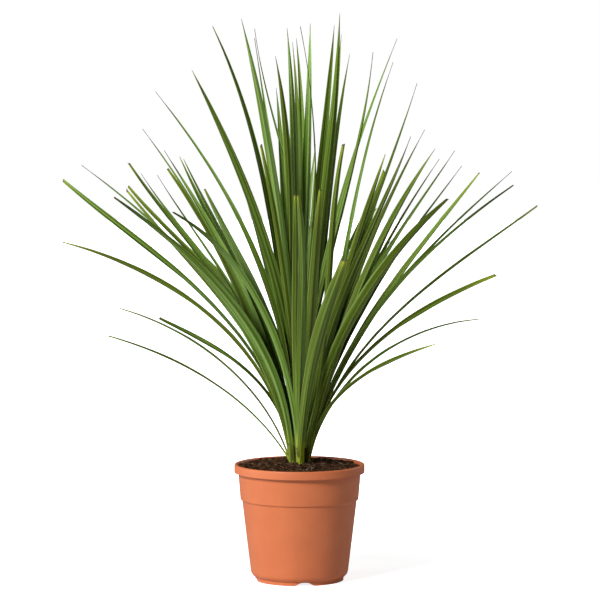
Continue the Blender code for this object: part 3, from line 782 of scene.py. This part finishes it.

# %% [markdown]
# ## The leaves, read off the plant
# Each leaf is one long blade on a curved midrib. The rows below were read off the plant, one for each
# leaf seen from the front, and the imported solids follow the same points: two points along the blade and the
# tip, across and up in millimetres, how far the tip lies behind the middle of the pot, the blade's width, how
# many degrees it turns flat to the front half way up and at its tip, and how much of a whole blade is left
# where a grower trimmed it. The last item is the look: d dark, g green, b bright, y yellowish or o olive, then
# h for a tip drawn out to a dry hair, or k for a trimmed end that has dried black.

# %% Rows for the leaves seen from the front
EYE_DISTANCE = 4500.0
EYE_HEIGHT = 735.0
SHOOTS = {
    "left": (-8.5, -1.0),
    "front": (0.0, -13.0),
    "right": (8.5, -3.0),
    "back": (-6.0, 17.5),
    "centre": (4.0, 8.0),
}
# In each row's look, d dark and b bright are partly the leaf's own tone and partly painted shade and painted
# light, for leaves that lie in shadow and leaves that face the lamp
SEEN_LEAVES = {
    "left": [
        (-60, 216, -150, 280, -248, 319, -30, 7, 5, 15, 0.86, "g"),
        (-60, 243, -150, 319, -233, 355, 40, 6, 0, 15, 0.92, "d"),
        (-42, 243, -110, 303, -182, 342, 110, 8, 0, 40, 0.85, "dk"),
        (-66, 290, -175, 386, -307, 441, -70, 10, 22, 52, 0.96, "o"),
        (-71, 308, -181, 420, -306, 521, 60, 10, 5, 52, 0.88, "g"),
        (-80, 335, -170, 446, -282, 541, -120, 9, 28, 20, 1.0, "gh"),
        (-56, 312, -155, 430, -240, 499, -190, 15, 42, 15, 0.95, "bk"),
        (-72, 322, -150, 421, -224, 508, -60, 10, 25, 20, 0.88, "y"),
        (-129, 414, -187, 473, -222, 513, 90, 11, 35, 20, 0.88, "o"),
        (-109, 394, -192, 501, -221, 543, -150, 11, 25, 10, 0.9, "g"),
        (-60, 325, -132, 430, -205, 530, 150, 10, 42, 18, 1.0, "dh"),
        (-82, 370, -138, 457, -184, 528, 60, 8, 32, 20, 1.0, "gh"),
        (-105, 429, -161, 528, -203, 588, -40, 10, 40, 22, 1.0, "gh"),
        (-79, 392, -140, 503, -175, 560, 110, 12, 55, 30, 1.0, "gh"),
        (-87, 392, -152, 508, -171, 536, -125, 10, 38, 20, 0.9, "o"),
        (-50, 335, -105, 450, -155, 552, 140, 10, 35, 25, 0.98, "g"),
        (-48, 337, -99, 446, -150, 549, 20, 10, 45, 28, 0.98, "g"),
        (-33, 352, -82, 476, -186, 636, -20, 11, 48, 30, 1.0, "gh"),
    ],
    "right": [
        (65, 452, 95, 590, 121, 674, 20, 9, 38, 28, 1.0, "gh"),
        (93, 476, 129, 577, 152, 647, 60, 8, 38, 30, 1.0, "dh"),
        (48, 350, 83, 469, 111, 555, -85, 12, 45, 30, 0.98, "o"),
        (54, 345, 86, 456, 110, 533, 100, 13, 35, 25, 0.9, "o"),
        (80, 428, 103, 480, 144, 578, -130, 12, 38, 28, 1.0, "dh"),
        (82, 414, 107, 474, 162, 587, 40, 11, 48, 32, 1.0, "dh"),
        (89, 404, 127, 482, 176, 563, -190, 13, 38, 15, 1.0, "o"),
        (60, 320, 122, 453, 181, 549, 120, 9, 42, 0, 1.0, "dh"),
        (62, 333, 134, 459, 201, 560, -60, 11, 50, 28, 1.0, "gh"),
        (107, 394, 173, 490, 210, 540, 160, 9, 20, 0, 1.0, "dh"),
        (90, 378, 150, 455, 192, 497, -170, 16, 32, 25, 0.94, "ok"),
        (145, 417, 191, 477, 233, 531, 60, 11, 40, 28, 0.95, "o"),
        (68, 300, 166, 429, 275, 533, -110, 10, 26, 8, 1.0, "gh"),
        (70, 306, 172, 430, 277, 515, 110, 9, 25, 5, 0.93, "dk"),
        (150, 369, 256, 450, 308, 488, -40, 9, 5, 20, 0.9, "o"),
        (62, 267, 150, 345, 255, 398, 50, 10, 5, 45, 0.85, "o"),
        (62, 255, 140, 315, 233, 341, -30, 7, 28, 14, 0.94, "d"),
        (57, 245, 115, 284, 176, 308, -80, 9, 10, 45, 0.95, "o"),
    ],
    "front": [
        (-54, 358, -111, 438, -164, 480, -190, 16, -15, 5, 0.95, "bk"),
        (-60, 381, -98, 458, -123, 510, -165, 14, 0, 10, 0.95, "b"),
        (-21, 400, -38, 508, -50, 567, -150, 8, 5, 10, 0.88, "o"),
        (-5, 290, -5, 420, -6, 503, -215, 9, 10, 25, 0.93, "y"),
        (2, 300, 4, 420, -2, 502, -280, 13, 0, 0, 0.93, "g"),
        (11, 290, 20, 420, 27, 509, -250, 13, 10, 10, 0.93, "o"),
        (8, 320, 17, 470, 21, 557, -115, 8, 10, 10, 1.0, "o"),
        (40, 420, 46, 495, 57, 568, -165, 9, 10, 15, 0.88, "o"),
        (14, 270, 36, 355, 59, 417, -300, 18, 15, 15, 0.88, "o"),
    ],
    "centre": [
        (-25, 370, -92, 565, -139, 664, -60, 13, 50, 50, 0.99, "d"),
        (-27, 400, -65, 593, -112, 720, 50, 9, 40, 40, 0.97, "d"),
        (-20, 420, -40, 562, -75, 730, -75, 13, 40, 40, 1.0, "b"),
        (-28, 580, -53, 685, -58, 717, 40, 6, 35, 28, 1.0, "gh"),
        (-18, 430, -44, 612, -58, 705, 70, 7, 38, 30, 1.0, "gh"),
        (-12, 400, -19, 600, -31, 682, -45, 14, 35, 35, 1.0, "g"),
        (-14, 400, -23, 560, -30, 641, 85, 13, 35, 30, 1.0, "g"),
        (-5, 400, -8, 590, -16, 718, -30, 13, 35, 30, 1.0, "b"),
        (-2, 400, -3, 610, -9, 700, 20, 10, 35, 30, 1.0, "y"),
        (3, 400, 4, 575, -4, 705, 60, 12, 25, 20, 1.0, "d"),
        (20, 560, 16, 620, 1, 720, -20, 3, 15, 0, 1.0, "dh"),
        (6, 390, 11, 560, 14, 724, 30, 15, 0, 0, 1.0, "b"),
        (14, 370, 32, 574, 45, 722, 40, 13, 50, 40, 1.0, "d"),
        (18, 370, 41, 578, 52, 737, -50, 13, 35, 35, 1.0, "g"),
        (22, 380, 43, 580, 54, 710, 75, 11, 25, 25, 1.0, "y"),
        (29, 400, 46, 562, 65, 685, 95, 9, 15, 15, 1.0, "d"),
        (42, 432, 71, 548, 95, 687, -65, 8, 42, 36, 1.0, "gh"),
        (53, 490, 83, 588, 126, 704, 50, 9, 40, 30, 1.0, "gh"),
    ],
    "back": [],
}
print("leaves seen:", sum(len(rows) for rows in SEEN_LEAVES.values()))

# %% [markdown]
# ## The leaves behind
# The rest of the tuft can't be seen from the front, but the plant is full on every side. These leaves follow a
# rule: each fan has a count, a range of slopes across, a range of leans and a range of lengths. Golden-section
# steps spread the leaves through a fan without a visible pattern, and a seeded draw varies them.

# %% Fans for the hidden leaves
HIDDEN_FANS = {  # count, slopes across, leans in degrees, shortest and longest blade
    "back": [
        (7, -0.06, 0.08, 15.0, 46.0, 385.0, 440.0),
        (3, -0.05, 0.06, 52.0, 58.0, 290.0, 330.0),
        (3, -0.56, -0.48, 33.0, 48.0, 325.0, 360.0),
        (3, 0.44, 0.54, 33.0, 48.0, 325.0, 360.0),
        (2, -0.21, -0.19, 24.0, 38.0, 370.0, 400.0),
        (2, 0.32, 0.35, 24.0, 38.0, 370.0, 400.0),
    ],
    "centre": [(4, -0.04, 0.05, 4.0, 8.0, 340.0, 400.0)],
    "front": [(3, -0.05, 0.06, 13.0, 19.0, 330.0, 380.0)],
}
FACES_BACK = {"back": 1.0, "centre": 1.0, "front": -1.0}
HIDDEN_WIDTH = (10.0, 13.0)
HIDDEN_TURN = 25.0
HIDDEN_LEFT_OVER = {"back": (1.0, 1.0, 1.0, 0.87), "centre": (1.0,), "front": (1.0,)}
HIDDEN_LOOKS = "gbgdygo"
print("leaves hidden:", sum(fan[0] for fans in HIDDEN_FANS.values() for fan in fans))

# %% Roots and midribs
ROOT_HEIGHT = 157.0
ROOT_RISE = 9.0
ROOT_REACH = 4.5
UPRIGHT_LEAN = 0.9
LEAN_POWER = 1.5
BOW = 0.35


def seen_point(across, up, depth):
    """The point at a given depth that lines up with (across, up) for the eye in front."""
    scale = (EYE_DISTANCE + depth) / EYE_DISTANCE
    return Vector((across * scale, depth, EYE_HEIGHT + (up - EYE_HEIGHT) * scale))


def leaf_root(shoot, tip):
    """Where a leaf leaves its shoot: on the side it leans to, and the lower the more it leans."""
    x, y = SHOOTS[shoot]
    out = Vector((tip.x - x, tip.y - y, 0.0))
    lean = math.atan2(out.length, tip.z - ROOT_HEIGHT)
    rise = ROOT_RISE * max(0.0, 1.0 - lean / UPRIGHT_LEAN)
    reach = ROOT_REACH * min(1.0, 0.5 + lean)
    return Vector((x, y, ROOT_HEIGHT + rise)) + out.normalized() * reach


def seen_midrib(shoot, row):
    """Four points along the midrib of a leaf seen from the front. It rises first and then leans out."""
    near_x, near_z, far_x, far_z, tip_x, tip_z, depth = row[:7]
    tip = seen_point(tip_x, tip_z, depth)
    root = leaf_root(shoot, tip)
    near_run = math.dist((root.x, root.z), (near_x, near_z))
    far_run = near_run + math.dist((near_x, near_z), (far_x, far_z))
    whole_run = far_run + math.dist((far_x, far_z), (tip_x, tip_z))
    near_depth, far_depth = [root.y + (depth - root.y) * (run / whole_run) ** LEAN_POWER
                             for run in (near_run, far_run)]
    return [root, seen_point(near_x, near_z, near_depth), seen_point(far_x, far_z, far_depth), tip]


def ruled_midrib(shoot, turn, lean, length):
    """Four points along the midrib of a leaf that leans out in the direction of turn."""
    x, y = SHOOTS[shoot]
    reach = outward(turn) * length * math.sin(lean)
    tip = Vector((x, y, ROOT_HEIGHT)) + reach + UP * length * math.cos(lean)
    root = leaf_root(shoot, tip)
    points = [root]
    for share in (1 / 3, 2 / 3):
        level = root.lerp(tip, share ** LEAN_POWER)
        height = root.lerp(tip, share).z + BOW * lean * length * share * (1 - share)
        points.append(Vector((level.x, level.y, height)))
    return points + [tip]


print("roots:", ROOT_HEIGHT, "to", ROOT_HEIGHT + ROOT_RISE, "mm up")

# %% All the leaves of a shoot
GOLDEN_STEP = 0.618034
SHEATH_COUNT = 5
SHEATH_LEAN = (12.0, 30.0)
SHEATH_LENGTH = (8.0, 26.0)
SHEATH_WIDTH = (6.0, 9.0)
SHEATH_LEFT_OVER = 0.8


def hidden_leaves(shoot):
    """Midrib, width, turn, share left over and look of each leaf that is placed by rule."""
    draw = random.Random(11 + len(shoot))
    leaves = []
    for count, first, last, inner, outer, shortest, longest in HIDDEN_FANS.get(shoot, []):
        for index in range(count):
            across = first + (last - first) * ((index * GOLDEN_STEP + 0.3) % 1.0)
            lean = math.radians(inner + (outer - inner) * (index + 0.5) / count)
            turn = FACES_BACK[shoot] * math.acos(across / math.tan(lean))
            midrib = ruled_midrib(shoot, turn, lean, draw.uniform(shortest, longest))
            width = draw.uniform(*HIDDEN_WIDTH)
            twist = draw.uniform(-HIDDEN_TURN, HIDDEN_TURN)
            left_over = draw.choice(HIDDEN_LEFT_OVER[shoot])
            look = HIDDEN_LOOKS[len(leaves) % len(HIDDEN_LOOKS)]
            leaves.append((midrib, width, twist, twist, left_over, look))
    return leaves


def dry_sheaths(shoot):
    """The short brown stubs of leaves that died and were pulled off, close round the shoot's foot."""
    draw = random.Random(5 + len(shoot))
    stubs = []
    for index in range(SHEATH_COUNT):
        turn = math.tau * (index * GOLDEN_STEP + draw.uniform(0.0, 0.1))
        lean = math.radians(draw.uniform(*SHEATH_LEAN))
        midrib = ruled_midrib(shoot, turn, lean, draw.uniform(*SHEATH_LENGTH))
        stubs.append((midrib, draw.uniform(*SHEATH_WIDTH), 0.0, 0.0, SHEATH_LEFT_OVER, "dk"))
    return stubs


def all_leaves(shoot):
    seen = [(seen_midrib(shoot, row), *row[7:]) for row in SEEN_LEAVES[shoot]]
    return seen + hidden_leaves(shoot) + dry_sheaths(shoot)


print("leaves on each shoot:", {shoot: len(all_leaves(shoot)) for shoot in SHOOTS})

# %% [markdown]
# ## Midribs
# Every blade follows its midrib. A midrib is drawn as a chain of points on the smooth curve through its four
# points, and it goes on down along the shoot to a foot under the soil, because real leaf bases sheathe the
# shoot and come up out of the ground. Each point also carries the numbers that the blade needs there, as
# named attributes: the share of the blade's length, its width, and the direction that its upper face looks.
# A blade turns early and then keeps its facing, so that its flat side shows to the front as on the plant.

# %% A smooth curve and its facings
TURNS_BELOW = (-0.3, 0.45)
TURNS_ABOVE = (0.45, 0.75)


def curve_through(points, count):
    """Even steps along the smooth curve through four points."""
    knots = [0.0]
    for start, end in zip(points, points[1:]):
        knots.append(knots[-1] + (end - start).length)
    steps = []
    for step in range(count + 1):
        run = knots[-1] * step / count
        spot = Vector((0.0, 0.0, 0.0))
        for i, point in enumerate(points):
            others = [knot for j, knot in enumerate(knots) if j != i]
            spot += point * math.prod((run - knot) / (knots[i] - knot) for knot in others)
        steps.append(spot)
    return steps


def ease(value, start, end):
    """0 before start, 1 after end, and smooth between them."""
    part = min(1.0, max(0.0, (value - start) / (end - start)))
    return part * part * (3.0 - 2.0 * part)


def facings(steps, turn, tip_turn):
    """The direction that the upper face looks at each step, as the blade turns flat to the front."""
    lean = Vector((steps[-1].x - steps[0].x, steps[-1].y - steps[0].y, 0.0)).normalized()
    side = lean.cross(UP)
    if side.y * lean.y > 0.0:
        side = -side
    faces = []
    for i in range(len(steps)):
        ahead = (steps[min(i + 1, len(steps) - 1)] - steps[max(i - 1, 0)]).normalized()
        level = (side - ahead * side.dot(ahead)).normalized()
        upper = level.cross(ahead)
        if upper.dot(lean) > 0.0:
            upper = -upper
        share = i / (len(steps) - 1)
        angle = math.radians(turn * ease(share, *TURNS_BELOW) + (tip_turn - turn) * ease(share, *TURNS_ABOVE))
        faces.append(upper * math.cos(angle) + level * math.sin(angle))
    return faces


print("blades turn from", TURNS_BELOW[0], "to", TURNS_ABOVE[1], "of their length")

# %% Midrib chains with attributes
MIDRIB_STEPS = 22
FOOT_HEIGHT = 141.0
FOOT_REACH = 2.2
FOOT_SHARES = [-0.04, -0.02]
BLADE_FACTS = ("width", "left_over", "tone", "yellow", "slant", "seed", "hair", "burnt")
# Lightness for each look: partly the leaf's own tone, partly painted shade and painted light
LOOK_TONES_AND_LIGHT = {"d": 0.14, "g": 0.45, "b": 0.88, "y": 0.58, "o": 0.36}
LOOK_YELLOWS = {"d": 0.05, "g": 0.12, "b": 0.05, "y": 0.80, "o": 0.62}
TONE_SPREAD = (-0.1, 0.1)
YELLOW_SPREAD = (-0.05, 0.1)
SLANT_SPREAD = (-0.9, 0.9)


def foot_steps(shoot, root):
    """Two points under the root: the sheath's foot in the soil, and one at the soil's surface."""
    x, y = SHOOTS[shoot]
    out = Vector((root.x - x, root.y - y, 0.0)).normalized()
    foot = Vector((x, y, FOOT_HEIGHT)) + out * FOOT_REACH
    return [foot, foot.lerp(root, 0.5) + out * 0.5]


def midrib_chains(shoot):
    """A mesh of loose chains, one for each leaf, with what the blade needs stored on their points."""
    draw = random.Random(23 + len(shoot))
    spots, edges, faces = [], [], []
    values = {name: [] for name in BLADE_FACTS + ("share", "from_tip")}
    for points, width, turn, tip_turn, left_over, look in all_leaves(shoot):
        steps = curve_through(points, MIDRIB_STEPS)
        looks = facings(steps, turn, tip_turn)
        lead = foot_steps(shoot, steps[0])
        first = len(spots)
        spots += lead + steps
        faces += [looks[0]] * len(lead) + looks
        edges += [(i, i + 1) for i in range(first, len(spots) - 1)]
        values["share"] += FOOT_SHARES + [i / MIDRIB_STEPS for i in range(MIDRIB_STEPS + 1)]
        length = sum((after - before).length for before, after in zip(steps, steps[1:])) * MM
        values["from_tip"] += [length] * len(lead)
        values["from_tip"] += [length * (1 - i / MIDRIB_STEPS) for i in range(len(steps))]
        facts = (width * MM, left_over, LOOK_TONES_AND_LIGHT[look[0]] + draw.uniform(*TONE_SPREAD),
                 LOOK_YELLOWS[look[0]] + draw.uniform(*YELLOW_SPREAD), draw.uniform(*SLANT_SPREAD),
                 draw.uniform(0.0, 1.0), float(look[1:] == "h"), float(look[1:] == "k"))
        for name, value in zip(BLADE_FACTS, facts):
            values[name] += [value] * (len(spots) - first)
    mesh = bpy.data.meshes.new("midribs_" + shoot)
    mesh.from_pydata([spot * MM for spot in spots], edges, [])
    for name, numbers in values.items():
        mesh.attributes.new(name, "FLOAT", "POINT").data.foreach_set("value", numbers)
    facing = mesh.attributes.new("facing", "FLOAT_VECTOR", "POINT")
    facing.data.foreach_set("vector", [part for face in faces for part in face])
    return mesh


print("facts for each blade:", ", ".join(BLADE_FACTS))

# %% [markdown]
# ## Sweeping the blades
# One Geometry Nodes tree makes every blade. It lays down one grid for each midrib, and then moves each point
# of the grid: the grid's long side runs along the midrib, and its short side is wrapped round a thin, closed
# section with a gutter above and a keel below. Curve to Mesh could sweep a fixed section, but here the gutter
# opens, the width swells and tapers, and a trimmed tip ends in a slanted cut, so each point reads its own
# place on the midrib with Sample Curve. The tree also stores the numbers that the leaf's finish will need.

# %% Grids for the blades
def sampled(tree, curves, leaf, run, name, form="FLOAT"):
    """A stored value part of the way along one leaf's midrib, with the place and the way ahead there."""
    slots = {"Curves": curves, "Value": stored(tree, name, form), "Factor": run, "Curve Index": leaf}
    node = place_node(tree, "GeometryNodeSampleCurve", slots, data_type=form, mode="FACTOR",
                      use_all_curves=False)
    return [Wire(node.outputs[key]) for key in ("Value", "Position", "Tangent")]


def lay_grids(tree, given, curves):
    """One grid for each midrib. Its points know their leaf, their row and their turn round the section."""
    size = place_node(tree, "GeometryNodeAttributeDomainSize", {0: curves}, component="CURVE")
    dots = wire_from(tree, "GeometryNodePoints", {"Count": Wire(size.outputs["Spline Count"])})
    dots = store(tree, dots, "leaf", wire_from(tree, "GeometryNodeInputIndex"), "INT")
    slots = {"Size X": 1.0, "Size Y": 1.0, "Vertices X": given["Columns"], "Vertices Y": given["Rows"]}
    grid = wire_from(tree, "GeometryNodeMeshGrid", slots, "Mesh")
    x, y, _ = split(wire_from(tree, "GeometryNodeInputPosition"))
    grid = store(tree, grid, "around", x + 0.5)
    grid = store(tree, grid, "row", y + 0.5)
    laid = wire_from(tree, "GeometryNodeInstanceOnPoints", {"Points": dots, "Instance": grid})
    return wire_from(tree, "GeometryNodeRealizeInstances", {"Geometry": laid})


print("numbers read from a midrib:", len(BLADE_FACTS) + 3)

# %% The blade's section
SHEATH_SWELL = 0.14
TAPER_POWER = 4.4
HAIR_TAPER = 1.4
GUTTER_POWER = 1.12
KEEL_POWER = 5
FLESHY_BASE = 1.4


def blade_section(given, here, turn):
    """A point of the thin, closed section: how far it is out from the midrib, and how far up from it."""
    across = maths("COSINE", turn)
    upper = maths("SINE", turn)
    from_middle = maths("ABSOLUTE", across)
    above = maths("MAXIMUM", here["share"], 0.0)
    whole = above * here["left_over"]

    # Half the width: it swells from the root, tapers to the tip and ends no thinner than a hair
    swelling = maths("MINIMUM", given["Width at root"] + given["Swell"] * whole, 1.0)
    sheath = ramp(here["share"], 0.07, -0.03) * SHEATH_SWELL
    taper = 1 - maths("POWER", whole, TAPER_POWER - HAIR_TAPER * here["hair"])
    thinnest = given["Hair"] * (0.5 + 0.5 * here["hair"])
    half = maths("MAXIMUM", here["width"] * 0.5 * (swelling + sheath) * taper, thinnest)

    # Up: the gutter with its ripple, then the thickness, and the keel under the midrib
    fold = given["Fold at root"] + (given["Fold at tip"] - given["Fold at root"]) * above
    ripple = noise_at(joined(here["share"] * 9.0, across * 0.6, here["seed"] * 40.0), 1.0) - 0.5
    gutter = half * (fold + given["Ripple"] * 6.0 * ripple * from_middle) * from_middle ** GUTTER_POWER
    fleshy = 1 + ramp(here["share"], 0.12, -0.02) * FLESHY_BASE
    thick = maths("MINIMUM", given["Thickness"] * fleshy, half * 0.6)
    below = (1 - from_middle) ** KEEL_POWER * maths("MINIMUM", upper, 0.0)
    lift = gutter + thick * 0.5 * upper + maths("MINIMUM", given["Keel"], half * 0.5) * below
    here.update(across=across * half, along=whole * 0.45, upper=upper, from_middle=from_middle)
    return across, half, lift


print("a blade narrows with the power", TAPER_POWER, "of its length")

# %% The blade tree
ROW_CROWDING = 1.15
CUT_BELOW = 0.995
CUT_FROM = 0.93
KEPT_FACTS = ("share", "across", "along", "upper", "tone", "yellow", "seed", "is_cut", "from_middle",
              "from_tip", "hair", "burnt")
WELD = 0.00001


def blade_tree():
    inputs = [("Geometry", "Geometry", None), ("Rows", "Int", 44), ("Columns", "Int", 17),
              ("Thickness", "Float", 0.0007), ("Keel", "Float", 0.0005), ("Fold at root", "Float", 0.68),
              ("Fold at tip", "Float", 0.42), ("Width at root", "Float", 0.48), ("Swell", "Float", 1.2),
              ("Ripple", "Float", 0.06), ("Hair", "Float", 0.00045), ("Jag", "Float", 1.0),
              ("Material", "Material", None)]
    tree, given, end = new_tree("blades", "GeometryNodeTree", inputs, [("Geometry", "Geometry")])
    curves = wire_from(tree, "GeometryNodeMeshToCurve", {"Mesh": given["Geometry"]})
    laid = lay_grids(tree, given, curves)

    # The first and last rows close the ends, so the run along the leaf starts one row in
    last = given["Rows"] - 1
    row = stored(tree, "row") * last
    run = maths("MINIMUM", maths("MAXIMUM", (row - 1) / (last - 2), 0.0), 1.0) ** ROW_CROWDING
    is_open = maths("GREATER_THAN", row, 0.5) * maths("LESS_THAN", row, last - 0.5)
    leaf = stored(tree, "leaf", "INT")
    share, place, ahead = sampled(tree, curves, leaf, run, "share")
    facing = sampled(tree, curves, leaf, run, "facing", "FLOAT_VECTOR")[0]
    here = {name: sampled(tree, curves, leaf, run, name)[0] for name in BLADE_FACTS + ("from_tip",)}
    here["share"] = share
    across, half, lift = blade_section(given, here, stored(tree, "around") * math.tau)

    # Move the points. A trimmed tip is cut on a slant, so one edge runs on past the other there
    sideways = vectors("NORMALIZE", vectors("CROSS_PRODUCT", ahead, facing))
    here["is_cut"] = maths("LESS_THAN", here["left_over"], CUT_BELOW)
    near_tip = ramp(share, CUT_FROM, 1.0) * here["is_cut"]
    jag = (noise_at(joined(across * 2.2, here["seed"] * 50.0), 1.0) - 0.5) * given["Jag"] * 3.0
    beyond = half * (across * here["slant"] + jag) * near_tip
    moved = place + (sideways * (across * half) + facing * lift) * is_open + ahead * beyond * is_open
    laid = wire_from(tree, "GeometryNodeSetPosition", {"Geometry": laid, "Position": moved})
    for name in KEPT_FACTS:
        laid = store(tree, laid, name, here[name])
    welded = wire_from(tree, "GeometryNodeMergeByDistance", {"Geometry": laid, "Distance": WELD})
    real = wire_from(tree, "GeometryNodeRealizeInstances", {"Geometry": welded})
    return finish_tree(tree, real, given, end)


BLADES = blade_tree()
print("blade tree:", len(BLADES.nodes), "nodes")

# %% [markdown]
# ## The leaves' finish
# A leaf is lime at its base, with a dark brown along one edge there that is painted shade between the crowded
# bases, deep green along the blade, and yellower toward a tip that has begun to dry. Trimmed ends have a thin
# brown scar, and some have dried black.
# Long streaks and fine parallel veins run the whole length, the midrib and the edges are a little paler, and
# the underside is duller than the shining upper face. The brightest streaks are pale and bluish, partly a
# painted sheen. Each effect is a layer: a share, worked out from the blade's own attributes so that it follows
# each leaf as it bends, and a colour to lay over the ones before.

# %% Leaf material
LEAF_DEEP = (0.022, 0.044, 0.0010)
LEAF_MID = (0.080, 0.170, 0.0110)
# Bright green made pale and bluish: partly the leaf's own bright streaks, partly a painted sheen
LEAF_BRIGHT_AND_SHEEN = (0.215, 0.395, 0.105)
LEAF_PALE = (0.380, 0.490, 0.170)
LEAF_OLIVE = (0.130, 0.150, 0.0090)
LEAF_YELLOW = (0.310, 0.400, 0.030)
LEAF_LIME = (0.520, 0.620, 0.020)
# Painted shade: a dark brown along one edge of a leaf's base, where the bases crowd together
BASE_SHADE_BROWN = (0.060, 0.036, 0.012)
LEAF_SCAR = (0.110, 0.075, 0.030)
LEAF_BURNT = (0.060, 0.042, 0.008)
LEAF_DRY = (0.110, 0.095, 0.065)
UNDERSIDE = (0.082, 0.120, 0.016)
DRY_REACH = 0.014
HAIR_REACH = 0.055
SCAR_REACH = 0.0016
BURNT_REACH = 0.010
DARK_REACH = 0.150
RIPE_REACH = 0.030
FROM_DEEP = (0.0, 0.55)
TO_BRIGHT = (0.45, 1.1)
RIPE_SHARES = (0.8, 1.0)
RIB_EDGES = (0.2, 0.04)
RIM_EDGES = (0.8, 0.96)
LIME_SHARES = (0.10, 0.02)
BROWN_SHARES = (0.06, 0.01)


def leaf_material():
    material, tree, shader = new_material("green leaf", specular_ior_level=0.22,
                                          specular_tint=(0.85, 1.0, 0.30, 1.0))
    seed, share, middle, tone, yellow, across, along, upper, cut, hair, burnt = [
        attribute(tree, name) for name in ("seed", "share", "from_middle", "tone", "yellow", "across", "along",
                                           "upper", "is_cut", "hair", "burnt")]
    fine = use_group(material, STREAKS, across=across, along=along, seed=seed, streak_width=0.0026,
                     streak_length=0.30, vein_gap=0.0009)

    # Along the blade: light and dark streaks, pale lines, edges and midrib, and a dull underside
    # The leaf's lightness starts from its look, which is partly its own tone and partly painted light and
    # shade, and long streaks vary it
    light = tone + (fine["Streaks"] - 0.5) * 0.9
    rib = ramp(middle, *RIB_EDGES) * (0.15 + 0.55 * ramp(tone, 0.6, 0.9))
    lines = ramp(middle, *RIM_EDGES) * (0.2 + 0.35 * yellow) + rib + fine["Lines"] * 0.3
    below = ramp(upper, 0.1, -0.2)

    # At the base: lime along one edge, and painted shade in brown along the other, where the bases crowd
    # together
    pale = ramp(seed, 0.25, 0.65)
    one_way = across * maths("SIGN", seed - 0.5)
    lime = ramp(share, *LIME_SHARES) * (0.5 + 0.5 * pale) * (0.15 + 0.85 * ramp(one_way, -0.0004, 0.0012))
    brown = ramp(share, *BROWN_SHARES) * ramp(one_way, 0.0, -0.0022) * 0.75

    # At the tip: dry when it is whole, scarred when it is trimmed, and sometimes burnt
    from_tip = attribute(tree, "from_tip") + (fine["Streaks"] - 0.5) * 0.002
    dry = ramp(from_tip / (DRY_REACH + (HAIR_REACH - DRY_REACH) * hair), 1.0, 0.45) * (1 - cut)
    scar = ramp(from_tip, SCAR_REACH, SCAR_REACH * 0.6) * cut
    layers = [
        (ramp(light, *FROM_DEEP), LEAF_MID),
        (ramp(light, *TO_BRIGHT), LEAF_BRIGHT_AND_SHEEN),
        (yellow * 0.42, LEAF_OLIVE),
        (yellow * ramp(share, *RIPE_SHARES) * 0.7, LEAF_YELLOW),
        (maths("MINIMUM", lines, 1.0), LEAF_PALE),
        (below * 0.3, UNDERSIDE),
        (lime, LEAF_LIME),
        (brown, BASE_SHADE_BROWN),
        (ramp(from_tip, RIPE_REACH, 0.0) * cut * 0.5, LEAF_YELLOW),
        (dry, LEAF_DRY),
        (scar, LEAF_SCAR),
        (ramp(from_tip, DARK_REACH, BURNT_REACH) * burnt * 0.85, LEAF_DEEP),
        (ramp(from_tip, BURNT_REACH, BURNT_REACH * 0.2) * burnt * 0.85, LEAF_BURNT),
    ]
    colour = LEAF_DEEP
    for cover, dye in layers:
        colour = blend_colours(cover, colour, dye)
    plug(shader.inputs["Base Color"], colour)
    plug(shader.inputs["Roughness"], 0.40 + fine["Streaks"] * 0.12 + below * 0.14)
    plug(shader.inputs["Normal"], raised(fine["Veins"] * 0.6 + fine["Streaks"] * 0.4, 0.00008, 0.5))
    return material


LEAF = leaf_material()
print("leaf finish:", LEAF.name)

# %% Make the five shoots
BLADE_SHARP = 60.0
for shoot in SHOOTS:
    foliage = new_object("foliage_" + shoot, midrib_chains(shoot))
    run_tree(foliage, BLADES, material=LEAF)
    smooth_below(foliage, BLADE_SHARP)
    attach(foliage, "root")
    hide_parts("leafy_stem_" + shoot)
    print(foliage.name + ":", triangles(foliage), "triangles")
